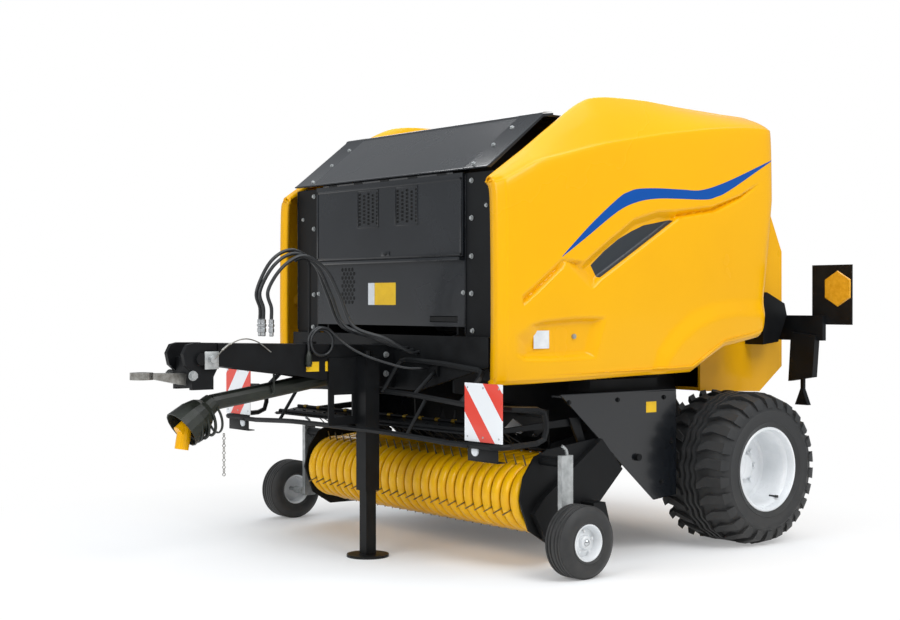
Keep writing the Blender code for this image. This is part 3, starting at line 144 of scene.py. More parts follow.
# Hood and doors: satin black powder coat on sheet steel, which mirrors the sky softly.
black_sheet = finish("satin_black_powder_coat", "#101317", "#161A1F", 700, (0.22, 0.30), 3, 0.06, coat=0.25,
                     coat_roughness=0.10)
# Frames and drawbar: thicker black chassis paint, duller and lightly dusted.
chassis_paint = finish("black_chassis_paint", "#0B0C0E", "#121416", 160, (0.42, 0.56), 5, 0.12, ior=1.30,
                       dust="#3F3B35", dust_height=0.7, dust_amount=0.12)
# Dark castings and rollers: phosphated steel, matt and even.
dark_casting = finish("phosphated_cast_steel", "#1D1F21", "#151719", 60, (0.5, 0.65), 4, 0.3, metallic=0.3)
# Zinc-plated brackets: pale grey with a dull shine.
zinc_plate = finish("zinc_plated_steel", "#C3C6C6", "#A9ACAC", 40, (0.38, 0.5), 3, 0.08, metallic=0.75)
# Wheel discs: white enamel over pressed steel, a little grey with road film.
white_enamel = finish("white_wheel_enamel", "#F0F2F4", "#E4E7E9", 140, (0.25, 0.36), 3, 0.04, coat=0.3,
                      dust="#8F8B84", dust_height=0.3, dust_amount=0.25)
# Tyres: carbon-black rubber, matt, greyed by dry dust in the low places.
tyre_rubber = finish("tyre_rubber", "#202122", "#2A2B2C", 90, (0.55, 0.70), 2, 0.25, sheen=0.05,
                     dust="#5C5750", dust_height=0.5, dust_amount=0.22)
# Bare worn steel on the tines and the tow eye.
worn_steel = finish("worn_bright_steel", "#A9A8A3", "#7E7B75", 30, (0.3, 0.48), 1.5, 0.08, metallic=0.95)
# Chromed cylinder rods and hose couplings.
chrome_plate = finish("hard_chrome_plate", "#D5D7D8", "#C4C7C9", 80, (0.08, 0.16), 1, 0.01, metallic=1.0)
# Hose covers: smooth nitrile rubber with a low shine.
hose_rubber = finish("nitrile_hose_cover", "#1C1D1F", "#26282A", 50, (0.34, 0.46), 1.5, 0.05)
# The drive guard: blow-moulded black polyethylene with a faint green cast.
guard_moulding = finish("black_polyethylene_guard", "#191D18", "#242921", 80, (0.42, 0.56), 2, 0.12)
# Amber reflector plastic.
amber_lens = finish("amber_reflector_acrylic", "#E7A92B", "#D99A1E", 25, (0.12, 0.2), 1.5, 0.05, coat=0.5)
# Yellow warning film with nothing printed on it.
yellow_film = finish("yellow_vinyl_film", "#F3C514", "#E9BA10", 60, (0.3, 0.4), 1, 0.01)
# White film with nothing printed on it.
white_film = finish("white_vinyl_film", "#E2E5E8", "#D2D6DA", 60, (0.3, 0.4), 1, 0.01)
# Gold-chromated springs.
gold_zinc = finish("yellow_chromated_zinc", "#B99A3C", "#9C7F2E", 20, (0.3, 0.4), 1, 0.03, metallic=0.85)
# Painted shade: a flat matt black stands for the dark seen through the grille holes, the vent holes and slot, and the
# keyhole.
flat_black_painted_shade = finish("painted_shade_behind_holes", "#08090A", "#0C0D0E", 100, (0.8, 0.9), 4, 0.1)


def red_and_white_film():
    """Marker film: white prismatic sheeting with steep red bands, and the cell pattern's fine sparkle."""
    made, tree, output = blank("red_and_white_reflective_film")
    where = add(tree, "TexCoord").outputs["Object"]
    axes = add(tree, "SeparateXYZ", None, {"Vector": where})
    # The bands fall outwards at the film's printed slope and repeat at its printed pitch.
    out = add(tree, "Math", {"operation": "ABSOLUTE"}, {0: axes.outputs["X"]}).outputs[0]
    rise = add(tree, "Math", {"operation": "MULTIPLY"}, {0: out, 1: BAND_SLOPE}).outputs[0]
    across = add(tree, "Math", {"operation": "ADD"}, {0: axes.outputs["Z"], 1: rise}).outputs[0]
    phase = add(tree, "Math", {"operation": "ADD"}, {0: across, 1: BAND_START}).outputs[0]
    turns = add(tree, "Math", {"operation": "DIVIDE"}, {0: phase, 1: BAND_PITCH}).outputs[0]
    share = add(tree, "Math", {"operation": "FRACT"}, {0: turns}).outputs[0]
    red = add(tree, "Math", {"operation": "GREATER_THAN"}, {0: share, 1: 0.57}).outputs[0]
    cells = add(tree, "TexVoronoi", None, {"Vector": where, "Scale": 1000 / 4}).outputs[0]
    tone = between(tree, red, linear("#E9ECEF"), linear("#E0402F"))
    bump = add(tree, "Bump", None, {"Strength": 0.25, "Distance": 0.1 * MM, "Height": cells})
    shader = add(tree, "BsdfPrincipled", None, {"Base Color": tone, "Roughness": 0.32, "Coat Weight": 0.3,
                                                "Normal": bump.outputs[0]})
    tree.links.new(shader.outputs[0], output.inputs["Surface"])
    return made


# Fall of the bands, the height where one starts, and their pitch.
BAND_SLOPE, BAND_START, BAND_PITCH = 1.19, -0.036, 0.310
marker_film = red_and_white_film()


def shield_paint():
    """The shields' gloss yellow with a blue flash and a dark trim panel, read from the piece's own edge distances.

    Each attribute holds metres inside the shape's edge, so the edge between colours stays crisp."""
    made, tree, output = blank("gloss_yellow_paint_with_blue_flash")
    where = add(tree, "TexCoord").outputs["Object"]
    patches = add(tree, "TexNoise", None, {"Vector": where, "Scale": 1.1, "Detail": 4.0}).outputs[0]
    peel = add(tree, "TexNoise", None, {"Vector": where, "Scale": 1000 / 6, "Detail": 2.0}).outputs[0]
    tone = between(tree, spread(tree, patches, 0, 1), linear("#F0B000"), linear("#ECAB00"))
    for attribute, colour in (("flash", "#004C9E"), ("trim", "#34393E")):
        inside = add(tree, "Attribute", {"attribute_name": attribute}).outputs["Fac"]
        shown = spread(tree, inside, 0, 1, -0.0008, 0.0008)
        tone = between(tree, shown, tone, linear(colour))
    rough = spread(tree, patches, 0.24, 0.30)
    bump = add(tree, "Bump", None, {"Strength": 0.5, "Distance": 0.05 * MM, "Height": peel})
    shader = add(tree, "BsdfPrincipled", None, {"Base Color": tone, "Roughness": rough, "IOR": 1.32,
                                                "Coat Weight": 0.10, "Coat Roughness": 0.05,
                                                "Normal": bump.outputs[0]})
    tree.links.new(shader.outputs[0], output.inputs["Surface"])
    return made


shield_gloss = shield_paint()


# ---------------------------------------------------------------- shape helpers

def keep(name, bm, body, finish_used, smooth=True, sharp=35, outward=True):
    """Turns a bmesh into a finished piece that rides on a body."""
    if outward:
        bmesh.ops.recalc_face_normals(bm, faces=bm.faces)
    mesh = bpy.data.meshes.new(name)
    bm.to_mesh(mesh)
    bm.free()
    piece = bpy.data.objects.new(name, mesh)
    bpy.context.scene.collection.objects.link(piece)
    finishes = finish_used if isinstance(finish_used, list) else [finish_used]
    for each in finishes:
        mesh.materials.append(each)
    if smooth:
        mesh.shade_smooth()
        mesh.set_sharp_from_angle(angle=math.radians(sharp))
    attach(piece, body)
    return piece


def turn_to(axis):
    """The rotation that takes +Z to an axis."""
    return Vector(axis).to_track_quat("Z", "Y").to_matrix().to_4x4()


def block(bm, low, high, bevel=0.0, segments=2):
    """A block between two corners, with its edges rounded."""
    low, high = Vector(low), Vector(high)
    size = Matrix.Diagonal((*(high - low), 1))
    made = bmesh.ops.create_cube(bm, size=1, matrix=Matrix.Translation((low + high) / 2) @ size)
    if bevel:
        edges = list({edge for vert in made["verts"] for edge in vert.link_edges})
        bmesh.ops.bevel(bm, geom=edges, offset=bevel, segments=segments, profile=0.5, affect="EDGES", material=-1)


def rod(bm, start, end, radius, sides=12, end_radius=None):
    """A straight round bar from start to end."""
    start, end = Vector(start), Vector(end)
    place = Matrix.Translation((start + end) / 2) @ turn_to(end - start)
    bmesh.ops.create_cone(bm, cap_ends=True, segments=sides, radius1=radius,
                          radius2=radius if end_radius is None else end_radius,
                          depth=(end - start).length, matrix=place)


def turned(bm, profile, centre, axis, steps):
    """A profile of (radius, along) points spun once round an axis; along is measured from the centre."""
    place = Matrix.Translation(Vector(centre)) @ turn_to(axis)
    verts = [bm.verts.new(place @ Vector((radius, 0, along))) for radius, along in profile]
    edges = [bm.edges.new(pair) for pair in zip(verts, verts[1:])]
    bmesh.ops.spin(bm, geom=verts + edges, cent=Vector(centre), axis=Vector(axis).normalized(),
                   angle=math.tau, steps=steps, use_merge=True)
    bmesh.ops.remove_doubles(bm, verts=bm.verts, dist=1e-6)


def set_side(bm, side):
    """Mirrors a left-hand shape for the machine's right side."""
    if side < 0:
        bmesh.ops.scale(bm, vec=(-1, 1, 1), verts=bm.verts)


def bolt(bm, place, axis, across=0.016, height=0.008, washer=True):
    """A hexagon bolt head on its washer, standing on a surface."""
    place, axis = Vector(place), Vector(axis).normalized()
    base = place
    if washer:
        rod(bm, place - axis * 0.001, place + axis * 0.002, across * 0.75, 14)
        base = place + axis * 0.002
    rod(bm, base - axis * 0.001, base + axis * height, across * 0.5774, 6)


def wire(name, points, radius, body, finish_used, smooth_points=True, cyclic=False, sides=3):
    """A bent wire, tube or bar along a line of points."""
    curve = bpy.data.curves.new(name, "CURVE")
    curve.dimensions = "3D"
    curve.bevel_depth = radius
    curve.bevel_resolution = sides
    curve.use_fill_caps = True
    spline = curve.splines.new("POLY")
    route = smooth_route(points, 0.012) if smooth_points else [Vector(p) for p in points]
    spline.points.add(len(route) - 1)
    spline.use_cyclic_u = cyclic
    for knot, point in zip(spline.points, route):
        knot.co = (*point, 1)
    piece = bpy.data.objects.new(name, curve)
    bpy.context.scene.collection.objects.link(piece)
    curve.materials.append(finish_used)
    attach(piece, body)
    return piece


def smooth_route(points, spacing):
    """A Catmull-Rom curve through the points, read at an even spacing."""
    knots = [Vector(p) for p in points]
    knots = [knots[0] * 2 - knots[1]] + knots + [knots[-1] * 2 - knots[-2]]
    dense = []
    for a, b, c, d in zip(knots, knots[1:], knots[2:], knots[3:]):
        for i in range(24):
            t = i / 24
            dense.append(0.5 * (2 * b + (c - a) * t + (2 * a - 5 * b + 4 * c - d) * t ** 2
                                + (3 * b - a - 3 * c + d) * t ** 3))
    dense.append(knots[-2])
    lengths = [0.0]
    for near, far in zip(dense, dense[1:]):
        lengths.append(lengths[-1] + (far - near).length)
    count = max(2, round(lengths[-1] / spacing))
    even, k = [], 0
    for i in range(count + 1):
        target = lengths[-1] * i / count
        while k < len(dense) - 2 and lengths[k + 1] < target:
            k += 1
        share = (target - lengths[k]) / (lengths[k + 1] - lengths[k])
        even.append(dense[k].lerp(dense[k + 1], min(1.0, share)))
    return even


def dress(finish_used, *nodes):
    """Gives CAD nodes their finish."""
    for name in nodes:
        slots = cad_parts[name].data.materials
        slots.clear()
        slots.append(finish_used)


# ---------------------------------------------------------------- hoses and cable

COUPLING_Y, COUPLING_TOP = -1.020, 1.2906
HOSE_DIAMETER, CABLE_DIAMETER = 0.019, 0.014
# name: x where the hose hangs, height of its arch, x and z where it enters the front frame, its real length
HOSES = {
    "hose_1": (-0.030, 1.660, 0.240, 1.130, 1.449),
    "hose_2": (0.005, 1.640, 0.290, 1.120, 1.430),
    "hose_3": (0.085, 1.625, 0.340, 1.110, 1.383),
}


def hose_points(x, top, end_x, end_z):
    """A hose's route: up from its coupling, over the holder, down and back to the front frame."""
    return [at(*p) for p in (
        (x, COUPLING_Y, COUPLING_TOP), (x, -1.020, 1.350), (x, -1.040, 1.440), (x, -0.950, top - 0.060),
        (x, -0.820, top), (x, -0.680, top - 0.070), (x + 0.010, -0.600, 1.420), (x + 0.060, -0.540, 1.250),
        (end_x - 0.040, -0.440, 1.185), (end_x, -0.30572, end_z), (end_x, -0.24572, end_z))]


def quick_coupling(name, x):
    """A hose's quick coupling, parked nose down in the holder: nose, knurled collar, hexagon and crimped sleeve."""
    bm = bmesh.new()
    low, top = 1.200, COUPLING_TOP - 0.0006
    turned(bm, [(0, 0), (0.009, 0), (0.0115, 0.003), (0.0115, 0.020), (0.015, 0.022), (0.015, 0.040),
                (0.0125, 0.043), (0.0125, 0.050), (0.0165, 0.052), (0.0165, 0.062), (0.0125, 0.064),
                (0.0125, 0.068), (0.0140, 0.070), (0.0140, top - low - 0.002), (0.0105, top - low),
                (0, top - low)], at(x, COUPLING_Y, low), (0, 0, 1), 24)
    return keep(name, bm, "chassis", chrome_plate)


for hose_name, (x, top, end_x, end_z, length) in HOSES.items():
    coupling = quick_coupling(hose_name.replace("hose", "hose_coupling"), x)
    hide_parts("hose_couplings")
    hose = wire(hose_name + "_cover", hose_points(x, top, end_x, end_z)[::-1], HOSE_DIAMETER / 2, "chassis",
                hose_rubber, sides=5)
    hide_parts(hose_name)

COIL_X, COIL_Y, COIL_Z, COIL_RADIUS = 0.1242, -0.730, 1.165, 0.075
# Three strands lie round the coil's middle, so each turn moves on by a third of the way round it.
STRAND_OFFSET, STRAND_START = 0.0083, 60
COIL_FROM, COIL_TO = 60, 900


def coil_point(turn_angle):
    """A point on the coil's winding, for an angle round it from its rear, in degrees."""
    angle = math.radians(turn_angle)
    place = math.radians(STRAND_START + (turn_angle - COIL_FROM) / 3)
    radius = COIL_RADIUS + STRAND_OFFSET * math.cos(place)
    return at(COIL_X + STRAND_OFFSET * math.sin(place), COIL_Y + radius * math.cos(angle),
              COIL_Z + radius * math.sin(angle))


cable_route = [at(*p) for p in (
    (0.420, -0.24572, 1.025), (0.420, -0.29572, 1.025), (0.370, -0.370, 1.030), (0.270, -0.490, 1.075),
    (0.194, -0.560, 1.118), (0.150, -0.620, 1.170), (0.1345, -0.663, 1.212))]
cable_route += [coil_point(angle) for angle in range(COIL_FROM, COIL_TO + 1, 12)]
coil_end = cable_route[-1]
cable_route += [coil_end + Vector((0.002, -0.0005, -0.022)), coil_end + Vector((0.004, -0.0005, -0.044))]
cable = wire("cable_cover", smooth_route(cable_route, 0.010), CABLE_DIAMETER / 2, "chassis", hose_rubber,
             smooth_points=False, sides=5)
plug_bm = bmesh.new()
plug_top = cable_route[-1]
turned(plug_bm, [(0, 0.004), (0.0085, 0), (0.0105, -0.012), (0.0150, -0.020), (0.0165, -0.024), (0.0165, -0.060),
                 (0.0185, -0.062), (0.0185, -0.072), (0.0150, -0.074), (0.0150, -0.084), (0, -0.084)],
       plug_top, (0, 0, 1), 24)
lighting_plug = keep("lighting_plug", plug_bm, "chassis", guard_moulding)
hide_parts("cable", "cable_coil")

# ---------------------------------------------------------------- finishes on the frame's own nodes

dress(black_sheet, "hood", "front_door", "lower_front_panel", "cutter_cover_left", "cutter_cover_right")
dress(chassis_paint, "front_frame", "feed_floor", "axle", "chain_oil_box", "drawbar", "drawbar_head", "jack_sleeve",
      "jack_leg", "guard_frame", "hose_holder", "pickup_frame", "tailgate_frame", "chamber_wall_left",
      "chamber_wall_right", "cylinder_barrel_left", "cylinder_barrel_right", "rear_marker_left",
      "rear_marker_right", "wheel_chock_left", "wheel_chock_right")
dress(dark_casting, "front_rollers", "gearbox", "feed_rotor")
dress(guard_moulding, "drive_guard")
dress(yellow_paint, "drive_yoke", "tailgate_shell")
dress(worn_steel, "tow_eye", "pickup_reel")
dress(chrome_plate, "cylinder_rod_left", "cylinder_rod_right", "hose_couplings")
dress(band_paint, "stripper_bands")
dress(chassis_paint, "wind_guard")
dress(zinc_plate, "gauge_arm_left", "gauge_arm_right")
dress(marker_film, "marker_board_left", "marker_board_right")
dress(tyre_rubber, "rear_tyre_left", "rear_tyre_right", "gauge_tyre_left", "gauge_tyre_right")
dress(white_enamel, "rear_rim_left", "rear_rim_right", "gauge_rim_left", "gauge_rim_right")
dress(yellow_paint, "side_shield_left", "side_shield_right")
dress(hose_rubber, "hose_1", "hose_2", "hose_3", "cable", "cable_coil")

# ---------------------------------------------------------------- side shields

# place along, lower edge, crease, ridge, outer face, ridge's x, lip's x, lip's height: the moulding's sections
SHIELD_SECTIONS = [
    (-0.268, 0.962, 1.985, 2.010, 0.972, 0.962, 0.950, 1.990),
    (-0.276, 0.960, 1.995, 2.022, 1.030, 0.970, 0.948, 1.996),
    (-0.238, 0.960, 2.012, 2.048, 1.072, 0.970, 0.946, 2.010),
    (-0.060, 0.963, 2.105, 2.165, 1.094, 0.968, 0.944, 2.120),
    (0.150, 0.968, 2.165, 2.310, 1.105, 0.962, 0.940, 2.270),
    (0.390, 0.975, 2.227, 2.448, 1.112, 0.915, 0.888, 2.398),
    (0.570, 0.980, 2.262, 2.496, 1.115, 0.900, 0.872, 2.398),
    (0.880, 0.988, 2.315, 2.506, 1.115, 0.900, 0.872, 2.398),
    (1.050, 0.993, 2.338, 2.500, 1.115, 0.900, 0.872, 2.398),
    (1.200, 1.070, 2.360, 2.493, 1.115, 0.900, 0.872, 2.398),
    (1.330, 1.130, 2.378, 2.488, 1.112, 0.900, 0.872, 2.398),
    (1.500, 1.155, 2.396, 2.482, 1.105, 0.900, 0.872, 2.398),
    (1.650, 1.180, 2.402, 2.478, 1.095, 0.900, 0.872, 2.398),
    (1.700, 1.218, 2.400, 2.470, 1.078, 0.900, 0.872, 2.398),
]
SHIELD_THICKNESS = 0.018
SHIELD_LEAN_FROM, SHIELD_LEAN = 1.200, 0.100
SHIELD_HINGE = Vector((0.866, 0, 2.425))

# The chiselled channel under the flash: its corners with the width of the slope that rises from each edge.
CHANNEL = [
    ((-0.150, 1.358), 0.010), ((0.132, 1.577), 0.075), ((0.309, 1.445), 0.014), ((0.373, 1.498), 0.014),
    ((0.970, 1.840), 0.016), ((1.286, 1.889), 0.020), ((1.506, 1.974), 0.020), ((1.690, 2.085), 0.010),
    ((1.506, 2.000), 0.022), ((1.253, 1.922), 0.030), ((0.962, 1.888), 0.040), ((0.806, 1.880), 0.045),
    ((0.623, 1.830), 0.050), ((0.431, 1.713), 0.050), ((0.252, 1.590), 0.012), ((0.098, 1.602), 0.050),
    ((-0.153, 1.411), 0.050),
]
CHANNEL_DEPTH = 0.040
# The shallow tray in the lower front corner.
TRAY = [
    ((-0.200, 1.215), 0.120), ((-0.120, 1.262), 0.034), ((-0.019, 1.288), 0.034), ((0.188, 1.302), 0.030),
    ((0.417, 1.301), 0.072), ((0.345, 1.082), 0.042), ((0.050, 1.074), 0.040), ((-0.133, 1.080), 0.045),
    ((-0.200, 1.120), 0.120),
]
TRAY_DEPTH = 0.032
# The dark panel in the channel, and the blue flash above it.
TRIM = [(0.335, 1.575), (0.431, 1.651), (0.534, 1.717), (0.638, 1.764), (0.729, 1.798), (0.955, 1.838),
        (0.378, 1.508)]
FLASH_TOP = [(0.085, 1.600), (0.301, 1.787), (0.504, 1.936), (0.580, 1.972), (0.653, 1.991), (0.806, 2.001),
             (1.000, 2.003), (1.155, 2.008), (1.370, 2.066), (1.723, 2.192), (1.830, 2.225)]
FLASH_FOOT = [(1.830, 2.219), (1.723, 2.178), (1.387, 2.014), (1.270, 1.972), (1.187, 1.955), (0.980, 1.950),
              (0.806, 1.944), (0.653, 1.921), (0.504, 1.866), (0.301, 1.738)]
# The line where the wheel-arch swelling starts, and how it grows.
SWELLING = [(0.700, 0.900), (0.791, 1.120), (0.900, 1.230), (1.059, 1.330), (1.237, 1.385), (1.420, 1.405),
            (1.700, 1.400)]
SWELLING_HEIGHT, SWELLING_SLOPE = 0.026, 0.110


def eased(value):
    """0 below 0, 1 above 1, and a smooth climb between."""
    value = min(1.0, max(0.0, value))
    return value * value * (3 - 2 * value)


def reach(point, start, end):
    """The distance from a point to a stretch between two others, in a plane."""
    (px, py), (ax, ay), (bx, by) = point, start, end
    dx, dy = bx - ax, by - ay
    t = min(1.0, max(0.0, ((px - ax) * dx + (py - ay) * dy) / (dx * dx + dy * dy)))
    return math.hypot(px - ax - dx * t, py - ay - dy * t)


def encloses(outline, point):
    """True where the outline goes round the point."""
    inside = False
    for (ax, ay), (bx, by) in zip(outline, outline[1:] + outline[:1]):
        if (ay > point[1]) != (by > point[1]) and point[0] < ax + (point[1] - ay) / (by - ay) * (bx - ax):
            inside = not inside
    return inside


def inside_by(outline, point):
    """Metres inside an outline's edge; negative outside."""
    nearest = min(reach(point, a, b) for a, b in zip(outline, outline[1:] + outline[:1]))
    return nearest if encloses(outline, point) else -nearest


def chiselled(edges, point):
    """How far down a chiselled hollow a point lies, from 0 at its edge to 1 on its floor."""
    outline = [place for place, _ in edges]
    if not encloses(outline, point):
        return 0.0
    return min(1.0, min(reach(point, a, b) / slope for (a, slope), b in zip(edges, outline[1:] + outline[:1])))


def eased_line(points):
    """An outline's points on a smooth curve through them."""
    return [tuple(curve_through([p[k] for p in points], i / 5) for k in (0, 1))
            for i in range(5 * (len(points) - 1) + 1)]


def curve_through(values, t):
    """A Catmull-Rom value through a list, t counting along it; it holds its ends."""
    i = min(len(values) - 2, max(0, int(t)))
    t -= i
    a, b, c, d = (values[min(len(values) - 1, max(0, i + k))] for k in (-1, 0, 1, 2))
    return 0.5 * (2 * b + (c - a) * t + (2 * a - 5 * b + 4 * c - d) * t ** 2 + (3 * b - a - 3 * c + d) * t ** 3)


def section_place(t):
    """One section of the shield, t counting along the list of sections."""
    first = SHIELD_SECTIONS[min(len(SHIELD_SECTIONS) - 2, int(t))]
    second = SHIELD_SECTIONS[min(len(SHIELD_SECTIONS) - 1, int(t) + 1)]
    share = t - min(len(SHIELD_SECTIONS) - 2, int(t))
    values = []
    for k in range(8):
        if k == 1 or t < 3:
            values.append(first[k] + (second[k] - first[k]) * share)
        else:
            values.append(curve_through([row[k] for row in SHIELD_SECTIONS], t))
    return values


def shield_profile(y, low, crease, ridge, outer, ridge_x, lip_x, lip_z, steps):
    """A section's line of (x, along, z), from the lower edge over the crown to the inner lip."""
    corners = [
        (outer - 0.018, low), (outer - 0.004, low + 0.020), (outer, low + 0.060),
        (outer + 0.004, low + (crease - low) * 0.35), (outer + 0.001, low + (crease - low) * 0.70),
        (outer - 0.008, crease - 0.050), (outer - 0.030, crease),
        ((outer + ridge_x) / 2 - 0.008, crease + (ridge - crease) * 0.57), (ridge_x + 0.020, ridge - 0.008),
        (ridge_x - 0.004, ridge - 0.001), (lip_x, (ridge + lip_z) / 2), (lip_x, lip_z),
    ]
    line = []
    for k, count in enumerate(steps):
        for j in range(count):
            t = k + j / count
            x = curve_through([c[0] for c in corners], t)
            z = curve_through([c[1] for c in corners], t)
            line.append((x, z))
    line.append(corners[-1])
    tip = min(1.0, max(0.0, (y - SHIELD_LEAN_FROM) / (SHIELD_SECTIONS[-1][0] - SHIELD_LEAN_FROM)))
    return [(x, y + tip * SHIELD_LEAN * min(1.0, max(0.0, (z - 1.218) / 0.760)), z) for x, z in line]


PROFILE_STEPS = (3, 5, 46, 50, 42, 6, 16, 10, 4, 4, 2)
SIDE_FINISHES = [shield_gloss, yellow_paint]


def side_shield(side, mark):
    """One moulded shield: its skin with the channel, tray and wheel swelling, its flash, and its hinge pins."""
    bm = bmesh.new()
    flash_layer = bm.verts.layers.float.new("flash")
    trim_layer = bm.verts.layers.float.new("trim")
    flash_outline = eased_line(FLASH_TOP) + eased_line(FLASH_FOOT)
    columns = []
    counts = [2, 5] + [max(4, round((b[0] - a[0]) / 0.009)) for a, b in zip(SHIELD_SECTIONS[2:], SHIELD_SECTIONS[3:])]
    stations = [k + j / count for k, count in enumerate(counts) for j in range(count)] + [len(counts)]
    for t in stations:
        column = []
        for x, y, z in shield_profile(*section_place(t), PROFILE_STEPS):
            spot = (y, z)
            flash, trim = -1.0, -1.0
            if x > 1.0 and z < 2.3:
                if 1.30 < z < 2.12:
                    x -= CHANNEL_DEPTH * chiselled(CHANNEL, spot)
                    trim = inside_by(TRIM, spot)
                if 1.05 < z < 1.33 and y < 0.45:
                    x -= TRAY_DEPTH * eased(chiselled(TRAY, spot))
                if z < 1.50 and y > 0.60:
                    away = min(reach(spot, a, b) for a, b in zip(SWELLING, SWELLING[1:]))
                    below = encloses(SWELLING + [(1.90, 1.40), (1.90, 0.80), (0.70, 0.80)], spot)
                    x += SWELLING_HEIGHT * eased(away / SWELLING_SLOPE) * below
                if 1.5 < z < 2.3:
                    flash = inside_by(flash_outline, spot)
            vert = bm.verts.new(at(x, y, z))
            vert[flash_layer], vert[trim_layer] = flash, trim
            column.append(vert)
        columns.append(column)
    for near, far in zip(columns, columns[1:]):
        for i in range(len(near) - 1):
            bm.faces.new((near[i], far[i], far[i + 1], near[i + 1]))
    if side < 0:
        bmesh.ops.scale(bm, vec=(-1, 1, 1), verts=bm.verts)
        bmesh.ops.reverse_faces(bm, faces=bm.faces)
    skin = keep(f"shield_moulding_{mark}", bm, f"side_shield_{mark}", SIDE_FINISHES, sharp=60, outward=False)
    wall = skin.modifiers.new("wall", "SOLIDIFY")
    wall.thickness, wall.offset, wall.material_offset, wall.material_offset_rim = SHIELD_THICKNESS, -1, 1, 1
    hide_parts(f"side_shield_{mark}")
    # The hinge pins, on their plates inside the crown, and the key lock in the tray.
    metal = bmesh.new()
    for along in (0.535, 0.965):
        start, end = at(side * SHIELD_HINGE.x, along - 0.025, SHIELD_HINGE.z), at(side * SHIELD_HINGE.x, along + 0.024,
                                                                              SHIELD_HINGE.z)
        rod(metal, start, end, 0.010, 14)
    lock = at(side * 1.083, 0.209, 1.201)
    rod(metal, lock - Vector((side * 0.012, 0, 0)), lock + Vector((side * 0.005, 0, 0)), 0.013, 24)
    rod(metal, lock, lock + Vector((side * 0.007, 0, 0)), 0.008, 20)
    pins = keep(f"shield_pins_and_lock_{mark}", metal, f"side_shield_{mark}", zinc_plate)
    return pins


side_shield(1, "left")
side_shield(-1, "right")


# ---------------------------------------------------------------- wheels

REAR_LOW, REAR_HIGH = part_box("rear_tyre_left")
REAR_RADIUS = (REAR_HIGH.z - REAR_LOW.z) / 2
REAR_MIDDLE = (REAR_LOW.x + REAR_HIGH.x) / 2
REAR_HALF = (REAR_HIGH.x - REAR_LOW.x) / 2
REAR_CENTRE = Vector((0, (REAR_LOW.y + REAR_HIGH.y) / 2, REAR_RADIUS))
REAR_BEAD = 0.236
LUG_HEIGHT = 0.020
LUG_COUNT = 26


def rear_tyre(side, mark):
    """A wide implement tyre: its carcass, long shoulder lugs that bend back at the crown, and three wavy ribs."""
    bm = bmesh.new()
    base = REAR_RADIUS - LUG_HEIGHT
    inner, outer = REAR_LOW.x, REAR_HIGH.x
    carcass = [
        (REAR_BEAD, inner + 0.016), (REAR_BEAD + 0.010, inner + 0.008), (REAR_BEAD + 0.030, inner + 0.003),
        (REAR_BEAD + 0.060, inner), (REAR_BEAD + 0.100, inner + 0.001), (base - 0.048, inner + 0.008),
        (base - 0.026, inner + 0.026), (base - 0.010, inner + 0.056), (base - 0.003, inner + 0.110),
        (base, REAR_MIDDLE), (base - 0.003, outer - 0.110), (base - 0.010, outer - 0.056),
        (base - 0.026, outer - 0.026), (base - 0.048, outer - 0.008), (REAR_BEAD + 0.100, outer - 0.001),
        (REAR_BEAD + 0.096, outer + 0.001), (REAR_BEAD + 0.092, outer - 0.001), (REAR_BEAD + 0.060, outer),
        (REAR_BEAD + 0.034, outer - 0.002), (REAR_BEAD + 0.031, outer + 0.001), (REAR_BEAD + 0.027, outer - 0.003),
        (REAR_BEAD + 0.010, outer - 0.008), (REAR_BEAD, outer - 0.016), (REAR_BEAD, inner + 0.016),
    ]
    turned(bm, [(radius, x) for radius, x in carcass], REAR_CENTRE, (1, 0, 0), 96)
    pitch = math.tau / LUG_COUNT
    arc = REAR_RADIUS * pitch
    for k in range(LUG_COUNT):
        for hand in (1, -1):
            turn = k * pitch + (pitch / 2 if hand < 0 else 0)
            edge = REAR_MIDDLE + hand * (REAR_HALF - 0.012)
            knee = REAR_MIDDLE + hand * (REAR_HALF - 0.105)
            nose = REAR_MIDDLE + hand * (REAR_HALF - 0.165)
            outline = [(edge, -arc * 0.30), (edge, arc * 0.26), (knee, arc * 0.30), (nose, -arc * 0.10),
                       (nose - hand * 0.004, -arc * 0.44), (knee, -arc * 0.22)]
            if hand < 0:
                outline.reverse()
            shoulder_lug(bm, outline, base, turn, hand)
    for rib in (-0.040, 0.0, 0.040):
        crown_rib(bm, REAR_MIDDLE + rib, base, 0.010 if rib else 0.012)
    set_side(bm, side)
    tyre = keep(f"rear_tyre_tread_{mark}", bm, f"rear_wheel_{mark}", tyre_rubber, sharp=40)
    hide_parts(f"rear_tyre_{mark}")


def carcass_radius(x, base):
    """The carcass's radius under a place across the tread."""
    off = abs(x - REAR_MIDDLE)
    flat = REAR_HALF - 0.110
    return base - 0.010 * eased((off - flat) / 0.090) - 0.030 * eased((off - REAR_HALF + 0.040) / 0.045)


